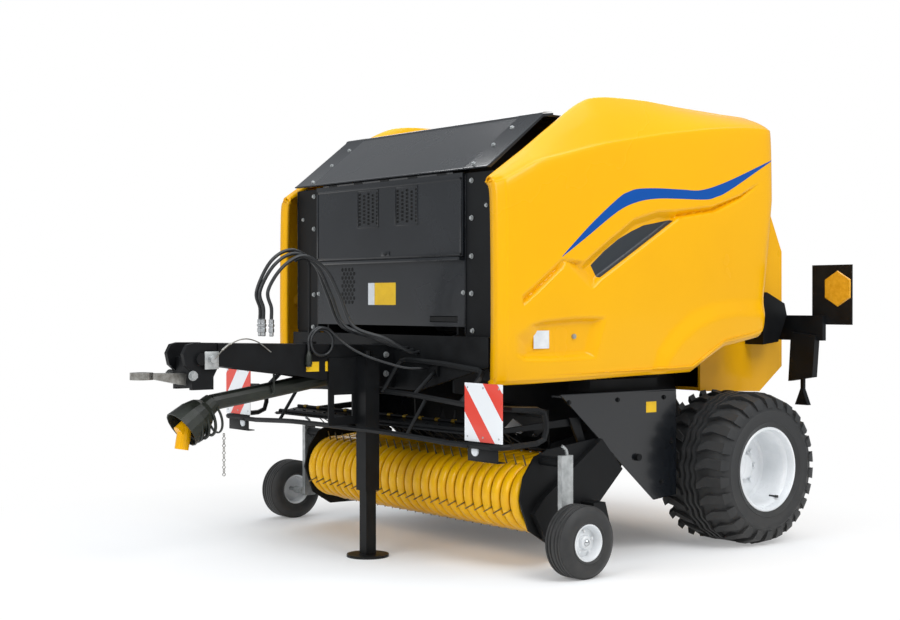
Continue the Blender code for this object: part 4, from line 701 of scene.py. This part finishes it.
def shoulder_lug(bm, outline, base, turn, hand):
    """A lug that runs from the crown round the shoulder and down the sidewall."""
    rows = []
    for level in (-0.006, LUG_HEIGHT):
        rows.append([])
        for x, arc in outline:
            shrink = 0.90 if level > 0 else 1.0
            rows[-1].append((x, arc * shrink, carcass_radius(x, base) + level))
    lower = [bm.verts.new((x, arc, radius)) for x, arc, radius in rows[0]]
    upper = [bm.verts.new((x - hand * 0.003, arc, radius)) for x, arc, radius in rows[1]]
    bm.faces.new(upper)
    bm.faces.new(lower[::-1])
    for i in range(len(lower)):
        j = (i + 1) % len(lower)
        bm.faces.new((lower[i], lower[j], upper[j], upper[i]))
    # The lug's tail goes over the shoulder, down the sidewall.
    edge_x = REAR_MIDDLE + hand * REAR_HALF
    tail = []
    half = abs(outline[0][1])
    for x, drop, width in ((edge_x - hand * 0.014, 0.0, half), (edge_x + hand * 0.003, 0.030, half * 0.85),
                           (edge_x + hand * 0.003, 0.052, half * 0.62), (edge_x - hand * 0.012, 0.062, half * 0.5),
                           (edge_x - hand * 0.030, 0.040, half * 0.8)):
        radius = carcass_radius(outline[0][0], base) + LUG_HEIGHT - drop
        tail.append((bm.verts.new((x, -width, radius)), bm.verts.new((x, width, radius))))
    ring = [pair[0] for pair in tail]
    other = [pair[1] for pair in tail]
    bm.faces.new(ring)
    bm.faces.new(other[::-1])
    for i in range(len(ring)):
        j = (i + 1) % len(ring)
        bm.faces.new((ring[j], ring[i], other[i], other[j]))
    verts = lower + upper + ring + other
    bmesh.ops.transform(bm, matrix=Matrix.Translation(REAR_CENTRE) @ Matrix.Rotation(turn, 4, "X"), verts=verts)


def crown_rib(bm, x, base, half_width):
    """A wavy rib round the crown, one wave for each lug."""
    steps = LUG_COUNT * 6
    rows = []
    for k in range(steps):
        angle = math.tau * k / steps
        sway = 0.007 * math.sin(angle * LUG_COUNT)
        ring = []
        for dx, radius in ((-half_width, base - 0.003), (-half_width * 0.8, base + LUG_HEIGHT - 0.002),
                           (half_width * 0.8, base + LUG_HEIGHT - 0.002), (half_width, base - 0.003)):
            ring.append(bm.verts.new(REAR_CENTRE + Vector((x + dx + sway, radius * math.cos(angle),
                                                           radius * math.sin(angle)))))
        rows.append(ring)
    for near, far in zip(rows, rows[1:] + rows[:1]):
        for i in range(4):
            j = (i + 1) % 4
            bm.faces.new((near[i], far[i], far[j], near[j]))


def rear_rim(side, mark):
    """A white deep-dished wheel: rolled flange, drop centre, conical disc, hub face with its nuts, and a valve."""
    bm = bmesh.new()
    outer, dish = REAR_HIGH.x - 0.012, 1.060
    inner = REAR_LOW.x + 0.012
    bead = REAR_BEAD - 0.0005
    profile = [
        (bead, inner), (bead, outer - 0.004), (bead + 0.004, outer), (bead - 0.001, outer + 0.004),
        (bead - 0.010, outer + 0.002), (bead - 0.014, outer - 0.010), (bead - 0.016, outer - 0.040),
        (bead - 0.026, outer - 0.052), (bead - 0.030, outer - 0.075), (bead - 0.030, dish + 0.050),
        (bead - 0.034, dish + 0.026), (bead - 0.050, dish + 0.018), (bead - 0.110, dish + 0.028),
        (bead - 0.124, dish + 0.024), (0.092, dish + 0.010), (0.086, dish + 0.014), (0.078, dish + 0.014),
        (0.074, dish + 0.050), (0.066, dish + 0.056), (0.0, dish + 0.056),
    ]
    back = [(0.0, dish - 0.020), (0.100, dish - 0.006), (bead - 0.034, dish - 0.006), (bead - 0.030, inner + 0.030),
            (bead - 0.020, inner + 0.016), (bead, inner)]
    turned(bm, profile + back, REAR_CENTRE, (1, 0, 0), 72)
    for k in range(8):
        turn = math.tau * k / 8
        spot = REAR_CENTRE + Vector((dish + 0.020, 0.112 * math.cos(turn), 0.112 * math.sin(turn)))
        bolt(bm, spot, (1, 0, 0), 0.024, 0.018)
    set_side(bm, side)
    rim = keep(f"rear_wheel_disc_{mark}", bm, f"rear_wheel_{mark}", white_enamel, sharp=30)
    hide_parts(f"rear_rim_{mark}")
    valve = bmesh.new()
    start = REAR_CENTRE + Vector((outer - 0.070, 0.205 * math.cos(-0.95), 0.205 * math.sin(-0.95)))
    rod(valve, start - Vector((0.020, 0, 0)), start + Vector((0.028, 0, 0)), 0.0055, 12)
    rod(valve, start + Vector((0.024, 0, 0)), start + Vector((0.040, 0, 0)), 0.0075, 12)
    set_side(valve, side)
    keep(f"rear_valve_{mark}", valve, f"rear_wheel_{mark}", hose_rubber)


for side, mark in ((1, "left"), (-1, "right")):
    rear_tyre(side, mark)
    rear_rim(side, mark)

GAUGE_LOW, GAUGE_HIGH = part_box("gauge_tyre_left")
GAUGE_RADIUS = (GAUGE_HIGH.z - GAUGE_LOW.z) / 2
GAUGE_MIDDLE = (GAUGE_LOW.x + GAUGE_HIGH.x) / 2
GAUGE_HALF = (GAUGE_HIGH.x - GAUGE_LOW.x) / 2
GAUGE_CENTRE = Vector((0, GAUGE_LINE_Y, GAUGE_RADIUS))
GAUGE_BEAD = 0.092


def gauge_wheel(side, mark):
    """A small wheel: a ribbed tyre with rounded shoulders, a white disc, its chrome cap and its nuts."""
    bm = bmesh.new()
    crown, half = GAUGE_RADIUS, GAUGE_HALF
    face = [(GAUGE_BEAD, half - 0.014), (GAUGE_BEAD + 0.008, half - 0.006), (GAUGE_BEAD + 0.012, half - 0.003),
            (GAUGE_BEAD + 0.016, half - 0.006), (GAUGE_BEAD + 0.040, half), (GAUGE_BEAD + 0.060, half - 0.003),
            (crown - 0.014, half - 0.014), (crown - 0.004, half - 0.026)]
    tread = []
    for k, x in enumerate((0.046, 0.024, 0.002)):
        tread += [(crown, x + 0.006), (crown, x - 0.004), (crown - 0.006, x - 0.006), (crown - 0.006, x - 0.012)]
    tread = [(r, x) for r, x in tread if x > 0]
    right = face + tread
    profile = [(r, GAUGE_MIDDLE + x) for r, x in right] + [(r, GAUGE_MIDDLE - x) for r, x in right[::-1]]
    turned(bm, profile + [profile[0]], GAUGE_CENTRE, (1, 0, 0), 72)
    set_side(bm, side)
    tyre = keep(f"gauge_tyre_tread_{mark}", bm, f"gauge_wheel_{mark}", tyre_rubber, sharp=40)
    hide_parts(f"gauge_tyre_{mark}")
    disc = bmesh.new()
    out, bead = GAUGE_MIDDLE + half - 0.014, GAUGE_BEAD - 0.0004
    dish = GAUGE_MIDDLE + 0.012
    rim = [(bead, GAUGE_MIDDLE - half + 0.014), (bead, out), (bead + 0.002, out + 0.004), (bead - 0.004, out + 0.005),
           (bead - 0.008, out - 0.002), (bead - 0.012, out - 0.022), (bead - 0.018, dish + 0.010),
           (bead - 0.034, dish + 0.014), (bead - 0.048, dish + 0.022), (0.034, dish + 0.020), (0.031, dish + 0.036),
           (0.027, dish + 0.040), (0.0, dish + 0.040), (0.0, dish - 0.004), (bead - 0.014, dish - 0.004),
           (bead - 0.010, GAUGE_MIDDLE - half + 0.024), (bead, GAUGE_MIDDLE - half + 0.014)]
    turned(disc, rim, GAUGE_CENTRE, (1, 0, 0), 48)
    for k in range(5):
        turn = math.tau * k / 5 + 0.3
        spot = GAUGE_CENTRE + Vector((dish + 0.017, 0.055 * math.cos(turn), 0.055 * math.sin(turn)))
        bolt(disc, spot, (1, 0, 0), 0.013, 0.008)
    set_side(disc, side)
    disc = keep(f"gauge_wheel_disc_{mark}", disc, f"gauge_wheel_{mark}", white_enamel, sharp=30)
    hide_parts(f"gauge_rim_{mark}")
    cap = bmesh.new()
    turned(cap, [(0.0, 0.014), (0.008, 0.0125), (0.015, 0.008), (0.019, 0.001), (0.020, -0.004), (0.0, -0.004)],
           GAUGE_CENTRE + Vector((dish + 0.040, 0, 0)), (1, 0, 0), 28)
    set_side(cap, side)
    keep(f"gauge_hub_cap_{mark}", cap, f"gauge_wheel_{mark}", chrome_plate)


for side, mark in ((1, "left"), (-1, "right")):
    gauge_wheel(side, mark)


# ---------------------------------------------------------------- small repeated shapes

def bars(bm, points, radius, sides=8):
    """A bent bar along a line of interim places, made of straight lengths with ball corners."""
    route = [at(*p) for p in points]
    for a, b in zip(route, route[1:]):
        rod(bm, a, b, radius, sides)
    for corner in route[1:-1]:
        bmesh.ops.create_icosphere(bm, subdivisions=2, radius=radius * 1.01, matrix=Matrix.Translation(corner))


def disc(bm, place, axis, radius, height, sides=24):
    """A low disc that stands on a surface."""
    axis = Vector(axis).normalized()
    made = bmesh.ops.create_cone(bm, cap_ends=True, segments=sides, radius1=radius, radius2=radius * 0.94,
                                 depth=height, matrix=turn_to(axis))
    bmesh.ops.translate(bm, vec=Vector(place) + axis * (height / 2 - 0.0005), verts=made["verts"])


def both_sides(bm):
    """Adds the mirror image of everything in a bmesh, across the machine's middle."""
    made = bmesh.ops.duplicate(bm, geom=bm.verts[:] + bm.edges[:] + bm.faces[:])
    verts = [g for g in made["geom"] if isinstance(g, bmesh.types.BMVert)]
    faces = [g for g in made["geom"] if isinstance(g, bmesh.types.BMFace)]
    bmesh.ops.scale(bm, vec=(-1, 1, 1), verts=verts)
    bmesh.ops.reverse_faces(bm, faces=faces)


def slab(bm, low, high, bevel=0.002):
    """A rounded block between two interim places."""
    block(bm, at(*low), at(*high), bevel)


# ---------------------------------------------------------------- hood and front door

POST_FACE, DOOR_FACE, PANEL_FACE, LEDGE_EDGE = -0.210, -0.228, -0.216, -0.255
HOOD_START, HOOD_RISE, HOOD_RUN = (-0.232, 2.080), 0.296, 0.377
SLOPE_OUT = Vector((0, -HOOD_RISE, HOOD_RUN)).normalized()


def on_hood(x, along):
    """A place on the hood's slope, a share of the way up it."""
    return at(x, HOOD_START[0] + HOOD_RUN * along, HOOD_START[1] + HOOD_RISE * along)


shell = bmesh.new()
# The hood's outer skin: its front lip, the slope, and the roof's folded front edge.
slope = [(-0.2425, 2.0765), (-0.2325, 2.0810), (0.1325, 2.3655), (0.1375, 2.3745), (0.1425, 2.3795),
         (0.1525, 2.3835), (0.2060, 2.3870)]
for x_low, x_high, lift in ((-0.717, 0.717, 0.0025), (-0.917, -0.721, 0.0035), (0.721, 0.917, 0.0035)):
    rows = []
    for x in (x_low, x_low + 0.003, x_high - 0.003, x_high):
        drop = 0.0025 if x in (x_low, x_high) else 0.0
        rows.append([shell.verts.new(at(x, y - (lift - drop) * 0.6, z + (lift - drop) * 0.8)) for y, z in slope])
    for near, far in zip(rows, rows[1:]):
        for i in range(len(slope) - 1):
            shell.faces.new((near[i], near[i + 1], far[i + 1], far[i]))
# The posts' folded outer edge, the door's folded border, and the ledge's rolled lip.
for side in (1, -1):
    for x_in, x_out in ((0.7010, 0.7060), (0.9220, 0.9300)):
        low, high = sorted((side * x_in, side * x_out))
        slab(shell, (low, POST_FACE - 0.006, 1.215), (high, POST_FACE + 0.002, 2.052), 0.0015)
slab(shell, (-0.692, LEDGE_EDGE - 0.002, 1.5985), (0.692, LEDGE_EDGE + 0.006, 1.6175), 0.0025)
keep("hood_skin", shell, "chassis", black_sheet, sharp=25)

metal = bmesh.new()
post_bolts = [(0.752, z) for z in (1.425, 1.620, 1.820, 2.015)] + [(-0.752, z) for z in (1.425, 1.620, 1.820, 2.015)]
for x, z in post_bolts:
    bolt(metal, at(x, POST_FACE, z), (0, -1, 0), 0.019, 0.008)
for x in (0.760, -0.760):
    bolt(metal, at(x, POST_FACE, 1.230), (0, -1, 0), 0.019, 0.008)
    for along in (0.06, 0.42, 0.76):
        bolt(metal, on_hood(x + 0.010 * (x > 0), along) + SLOPE_OUT * 0.004, SLOPE_OUT, 0.017, 0.007)
for side in (1, -1):
    bolt(metal, at(side * 0.690, PANEL_FACE, 1.430), (0, -1, 0), 0.017, 0.007)
    bolt(metal, at(side * 0.872, POST_FACE, 1.880), (0, -1, 0), 0.015, 0.006)
keep("hood_bolts", metal, "chassis", zinc_plate)

knuckles = bmesh.new()
for x in (-0.560, -0.300, -0.040, 0.220, 0.480):
    rod(knuckles, at(x, -0.224, 2.064), at(x + 0.085, -0.224, 2.064), 0.0086, 20)
keep("door_hinge_knuckles", knuckles, "front_door", chassis_paint)

door = bmesh.new()
# The pressed border and the two pressed grille frames.
for low, high in (((-0.690, 1.626), (0.690, 1.640)), ((-0.690, 2.022), (0.690, 2.036)),
                  ((-0.690, 1.626), (-0.678, 2.036)), ((0.678, 1.626), (0.690, 2.036))):
    slab(door, (low[0], DOOR_FACE - 0.0035, low[1]), (high[0], DOOR_FACE + 0.001, high[1]), 0.0015)
for left in (-0.268, 0.100):
    for low, high in (((left, 1.802), (left + 0.208, 1.808)), ((left, 2.012), (left + 0.208, 2.018)),
                      ((left, 1.802), (left + 0.006, 2.018)), ((left + 0.202, 1.802), (left + 0.208, 2.018))):
        slab(door, (low[0], DOOR_FACE - 0.003, low[1]), (high[0], DOOR_FACE + 0.001, high[1]), 0.001)
# The latch's escutcheon and its handle.
slab(door, (-0.030, DOOR_FACE - 0.004, 1.636), (0.048, DOOR_FACE + 0.001, 1.664), 0.0015)
disc(door, at(0.009, DOOR_FACE - 0.004, 1.650), (0, -1, 0), 0.012, 0.006)
keep("front_door_pressing", door, "front_door", black_sheet)

# Painted shade: black discs on the door face stand for the grille holes and the keyhole, in place of real openings.
holes = bmesh.new()
for left in (-0.250, 0.118):
    for column in range(5):
        for row in range(9):
            z = 1.826 + row * 0.0212 + (0.0106 if column % 2 else 0.0)
            if z < 2.000:
                hole_x = left + 0.043 * column
                disc(holes, at(hole_x, DOOR_FACE, z), (0, -1, 0), 0.0085, 0.0012, 14)
                place = Matrix.Translation(at(hole_x + 0.010, DOOR_FACE - 0.0001, z)) @ turn_to((0, -1, 0))
                bmesh.ops.create_cone(holes, cap_ends=True, segments=10, radius1=0.0085, radius2=0.0085,
                                      depth=0.0012, matrix=place)
disc(holes, at(0.009, DOOR_FACE - 0.0095, 1.650), (0, -1, 0), 0.004, 0.002, 16)
keep("front_door_grille_holes_painted_shade", holes, "front_door", flat_black_painted_shade, smooth=False)

# Painted shade: black hexagons and a black slot on the panel face stand for the vent openings, in place of real
# openings.
vents = bmesh.new()
for row in range(9):
    for column in range(4):
        x = -0.440 + column * 0.034 + (0.017 if row % 2 else 0.0)
        disc(vents, at(x, PANEL_FACE, 1.380 + row * 0.0235), (0, -1, 0), 0.0125, 0.0015, 6)
slab(vents, (0.404, PANEL_FACE - 0.0005, 1.276), (0.636, PANEL_FACE + 0.004, 1.302), 0.0005)
keep("lower_panel_vent_holes_painted_shade", vents, "chassis", flat_black_painted_shade, smooth=False)

films = bmesh.new()
slab(films, (-0.178, PANEL_FACE - 0.0008, 1.364), (-0.116, PANEL_FACE + 0.001, 1.489), 0.0003)
keep("lower_panel_film_white", films, "chassis", white_film, smooth=False)
films = bmesh.new()
slab(films, (-0.114, PANEL_FACE - 0.0008, 1.364), (0.088, PANEL_FACE + 0.001, 1.489), 0.0003)
for y_low, y_high in ((-0.820, -0.740), (-0.700, -0.600)):
    slab(films, (0.1100, y_low, 1.010), (0.1110, y_high, 1.062), 0.0002)
keep("warning_film_blank", films, "chassis", yellow_film, smooth=False)

# ---------------------------------------------------------------- the pick-up's bands and fingers

BAND_STEP, BAND_WIDE, BAND_TOTAL = 0.0765, 0.061, 26


def band_line():
    """The bands' outer line of (y, z), with its outward direction, from the top rear to the low rear."""
    line = [((0.370, 0.552), (0, 1)), ((0.250, 0.552), (0, 1)), ((0.180, 0.548), (0.05, 1))]
    for k in range(21):
        turn = math.radians(80 + 188 * k / 20)
        line.append(((0.080 + 0.180 * math.cos(turn), 0.360 + 0.180 * math.sin(turn)),
                     (math.cos(turn), math.sin(turn))))
    return line + [((0.150, 0.152), (-0.05, -1)), ((0.248, 0.145), (0, -1))]


bands = bmesh.new()
cross = [(-BAND_WIDE / 2, -0.016), (-BAND_WIDE / 2 + 0.001, -0.006), (-0.024, -0.0005), (-0.012, 0.0038),
         (0.0, 0.0048), (0.012, 0.0038), (0.024, -0.0005), (BAND_WIDE / 2 - 0.001, -0.006), (BAND_WIDE / 2, -0.016)]
for k in range(BAND_TOTAL):
    middle = (k - (BAND_TOTAL - 1) / 2) * BAND_STEP
    rows = []
    for (y, z), (oy, oz) in band_line():
        rows.append([bands.verts.new(at(middle + dx, y + oy * lift, z + oz * lift)) for dx, lift in cross])
    for near, far in zip(rows, rows[1:]):
        for i in range(len(cross) - 1):
            bands.faces.new((near[i], near[i + 1], far[i + 1], far[i]))
band_skin = keep("stripper_band_rolled", bands, "pickup", band_paint, sharp=50, outward=False)
wall = band_skin.modifiers.new("wall", "SOLIDIFY")
wall.thickness, wall.offset = 0.002, -1
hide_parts("stripper_bands")

ends = bmesh.new()
for k in range(BAND_TOTAL):
    x = (k - (BAND_TOTAL - 1) / 2) * BAND_STEP
    bolt(ends, at(x, 0.100, 0.1785), (0, -0.05, -1), 0.012, 0.005)
    bolt(ends, at(x, 0.290, 0.5565), (0, 0, 1), 0.012, 0.005)
keep("stripper_band_bolts", ends, "pickup", zinc_plate)

fingers = bmesh.new()
for k in range(-9, 10):
    for lean in (0.055, -0.055):
        bars(fingers, [(k * 0.100 - lean, -0.200, 0.744), (k * 0.100, -0.110, 0.700), (k * 0.100 + lean, 0.010, 0.618),
                       (k * 0.100 + lean * 1.5, 0.130, 0.606)], 0.0032, 6)
rod(fingers, at(-0.945, -0.200, 0.746), at(0.945, -0.200, 0.746), 0.009, 14)
rod(fingers, at(-0.945, -0.330, 0.722), at(0.945, -0.330, 0.722), 0.012, 16)
for k in range(-8, 9):
    bolt(fingers, at(k * 0.110, -0.270, 0.726), (0, -0.15, 1), 0.014, 0.006)
keep("wind_guard_fingers", fingers, "wind_guard", chassis_paint)

springs = bmesh.new()
for k in range(-6, 7):
    for j in range(6):
        turned(springs, [(0.009, -0.0018), (0.012, -0.0018), (0.012, 0.0018), (0.009, 0.0018), (0.009, -0.0018)],
               at(k * 0.145 + j * 0.0048, -0.200, 0.746), (1, 0, 0), 16)
keep("wind_guard_springs", springs, "wind_guard", gold_zinc)

# ---------------------------------------------------------------- drawbar, drive guard and tow eye

bits = bmesh.new()
for side in (1, -1):
    for y, z in ((-0.300, 1.090), (-0.300, 0.985), (-0.420, 1.095), (-0.420, 0.985)):
        bolt(bits, at(side * 0.110, y, z), (side, 0, 0), 0.024, 0.012)
    for y in (-1.395, -1.500):
        bolt(bits, at(side * 0.122, y, 1.092 if y > -1.45 else 1.010), (side, 0, 0), 0.034, 0.018)
slab(bits, (0.1215, -1.435, 1.040), (0.1275, -1.355, 1.130), 0.002)
bolt(bits, at(0.1270, -1.395, 1.088), (1, 0, 0), 0.032, 0.020)
keep("drawbar_bolts", bits, "chassis", zinc_plate)

rope = bmesh.new()
route = smooth_route([(0.146, -1.395, 1.088), (0.150, -1.330, 1.150), (0.142, -1.230, 1.190), (0.122, -1.130, 1.176),
                      (0.114, -1.040, 1.120)], 0.012)
for a, b in zip(route, route[1:]):
    rod(rope, at(*a), at(*b), 0.0032, 8)
rod(rope, at(0.149, -1.350, 1.135), at(0.148, -1.305, 1.168), 0.0062, 12)
keep("safety_rope", rope, "chassis", worn_steel)

guard = bmesh.new()
axis = (at(0, -0.300, 0.960) - at(0, -1.480, 0.730)).normalized()
bell = at(0, -1.460, 0.748)
bmesh.ops.create_cone(guard, cap_ends=False, segments=32, radius1=0.093, radius2=0.080, depth=0.012,
                      matrix=Matrix.Translation(bell + axis * 0.050) @ turn_to(axis))
for j in range(4):
    turned(guard, [(0.070, -0.006), (0.0935 - j * 0.006, -0.006), (0.0965 - j * 0.006, 0.0),
                   (0.0935 - j * 0.006, 0.006), (0.070, 0.006), (0.070, -0.006)], bell + axis * (0.030 + j * 0.042),
           axis, 40)
keep("drive_guard_rings", guard, "chassis", guard_moulding)

chain = bmesh.new()
for k in range(12):
    centre = at(0.080, -1.300, 0.700 - k * 0.0185)
    spin = Vector((1, 0, 0)) if k % 2 else Vector((0, 1, 0))
    turned(chain, [(0.0062, -0.0016), (0.0094, -0.0016), (0.0094, 0.0016), (0.0062, 0.0016), (0.0062, -0.0016)],
           centre, spin, 14)
keep("guard_chain", chain, "chassis", worn_steel)

# ---------------------------------------------------------------- marker boards and rear markers

rivets = bmesh.new()
for x, z in ((1.060, 0.718), (1.300, 0.718), (1.060, 0.960), (1.300, 0.960), (1.180, 0.718), (1.180, 0.960)):
    disc(rivets, at(x, -0.487, z), (0, -1, 0), 0.0055, 0.002, 14)
both_sides(rivets)
keep("marker_board_rivets", rivets, "chassis", zinc_plate)
bracket = bmesh.new()
slab(bracket, (1.060, -0.486, 0.600), (1.290, -0.480, 0.690), 0.0015)
slab(bracket, (1.060, -0.486, 0.598), (1.290, -0.440, 0.604), 0.0015)
both_sides(bracket)
keep("marker_lower_bracket", bracket, "chassis", chassis_paint)
lens = bmesh.new()
disc(lens, at(1.120, -0.486, 0.648), (0, -1, 0), 0.026, 0.007, 32)
both_sides(lens)
keep("front_reflectors", lens, "chassis", white_film)

hexagon = bmesh.new()
disc(hexagon, at(1.286, 2.160, 1.460), (0, 1, 0), 0.108, 0.006, 6)
disc(hexagon, at(1.286, 2.150, 1.460), (0, -1, 0), 0.108, 0.006, 6)
both_sides(hexagon)
keep("rear_amber_markers", hexagon, "tailgate", amber_lens, smooth=False)
lamps = bmesh.new()
for z in (1.000, 1.080, 1.150):
    disc(lamps, at(1.060, 2.146, z), (0, 1, 0), 0.030, 0.010, 32)
both_sides(lamps)
keep("rear_lamp_lenses", lamps, "tailgate", amber_lens)

# ---------------------------------------------------------------- tailgate and side covers

edge = bmesh.new()
slab(edge, (0.9960, 0.186, 0.884), (1.0115, 1.056, 0.894), 0.002)
both_sides(edge)
keep("cutter_cover_top_fold", edge, "chassis", black_sheet)
cover = bmesh.new()
for y, z in ((0.240, 0.850), (0.600, 0.850), (0.960, 0.850), (0.940, 0.380), (1.020, 0.600)):
    bolt(cover, at(1.010, y, z), (1, 0, 0), 0.018, 0.008)
disc(cover, at(1.010, 0.748, 0.529), (1, 0, 0), 0.020, 0.022)
both_sides(cover)
keep("cutter_cover_bolts", cover, "chassis", chassis_paint)
label = bmesh.new()
slab(label, (1.0095, 0.820, 0.770), (1.0110, 0.900, 0.830), 0.0003)
both_sides(label)
keep("cover_film_blank", label, "chassis", yellow_film, smooth=False)
tray_label = bmesh.new()
slab(tray_label, (1.0720, -0.063, 1.141), (1.0735, 0.043, 1.234), 0.0003)
keep("tray_film_left", tray_label, "side_shield_left", white_film, smooth=False)

# ---------------------------------------------------------------- floor, world and lamps

def pale_floor_finish():
    """A matt white studio floor: near white to the eye and in reflections, and it keeps the soft shadow."""
    made, tree, output = blank("matt_white_studio_floor")
    rays = add(tree, "LightPath")
    seen = add(tree, "Math", {"operation": "MAXIMUM"}, {0: rays.outputs["Is Camera Ray"],
                                                        1: rays.outputs["Is Glossy Ray"]}).outputs[0]
    # The floor turns into the white backdrop with the distance from the machine.
    place = add(tree, "TexCoord").outputs["Object"]
    away = add(tree, "VectorMath", {"operation": "LENGTH"}, {0: place}).outputs["Value"]
    share = add(tree, "Math", {"operation": "MULTIPLY"},
                {0: seen, 1: spread(tree, away, 0.10, 1.0, 1.2, 3.2)}).outputs[0]
    matt = add(tree, "BsdfDiffuse", None, {"Color": linear("#F4F4F4")}).outputs[0]
    glow = add(tree, "Emission", None, {"Color": (1.0, 1.0, 1.0, 1.0), "Strength": 1.0}).outputs[0]
    both = add(tree, "MixShader", None, {0: share, 1: matt, 2: glow})
    tree.links.new(both.outputs[0], output.inputs["Surface"])
    return made


floor_mesh = bpy.data.meshes.new("floor")
floor_bm = bmesh.new()
bmesh.ops.create_circle(floor_bm, cap_ends=True, radius=60.0, segments=64)
floor_bm.to_mesh(floor_mesh)
floor_bm.free()
floor = bpy.data.objects.new("floor", floor_mesh)
bpy.context.scene.collection.objects.link(floor)
floor_mesh.materials.append(pale_floor_finish())

world = bpy.data.worlds.new("studio")
bpy.context.scene.world = world
world.use_nodes = True
world.node_tree.nodes.clear()
tree = world.node_tree
rays = add(tree, "LightPath")
seen = add(tree, "Math", {"operation": "MAXIMUM"}, {0: rays.outputs["Is Camera Ray"],
                                                    1: rays.outputs["Is Transmission Ray"]}).outputs[0]
ambient = add(tree, "Background", None, {"Color": (0.93, 0.96, 1.0, 1.0), "Strength": 0.46}).outputs[0]
backdrop = add(tree, "Background", None, {"Color": (1.0, 1.0, 1.0, 1.0), "Strength": 1.0}).outputs[0]
both = add(tree, "MixShader", None, {0: seen, 1: ambient, 2: backdrop})
tree.links.new(both.outputs[0], add(tree, "OutputWorld").inputs["Surface"])


def soft_box(name, place, aim, size, power, tint=(1.0, 1.0, 1.0)):
    """A square studio lamp that looks at a point."""
    lamp = bpy.data.lights.new(name, "AREA")
    lamp.shape, lamp.size, lamp.size_y, lamp.energy, lamp.color = "RECTANGLE", size[0], size[1], power, tint
    holder = bpy.data.objects.new(name, lamp)
    holder.location = place
    holder.rotation_euler = (Vector(aim) - Vector(place)).to_track_quat("-Z", "Y").to_euler()
    bpy.context.scene.collection.objects.link(holder)


soft_box("key_lamp", (6.5, 0.5, 7.0), (0.3, 0.0, 1.0), (5.0, 5.0), 400)
soft_box("front_lamp", (1.5, -8.0, 5.0), (0.0, 0.0, 1.0), (6.0, 4.0), 300)
soft_box("top_lamp", (0.0, 0.0, 8.0), (0.0, 0.0, 0.0), (7.0, 7.0), 270, (0.84, 0.93, 1.0))
soft_box("back_lamp", (-6.0, 6.0, 6.0), (0.0, 0.0, 1.0), (5.0, 5.0), 210)

bpy.context.scene.view_settings.view_transform = "Standard"
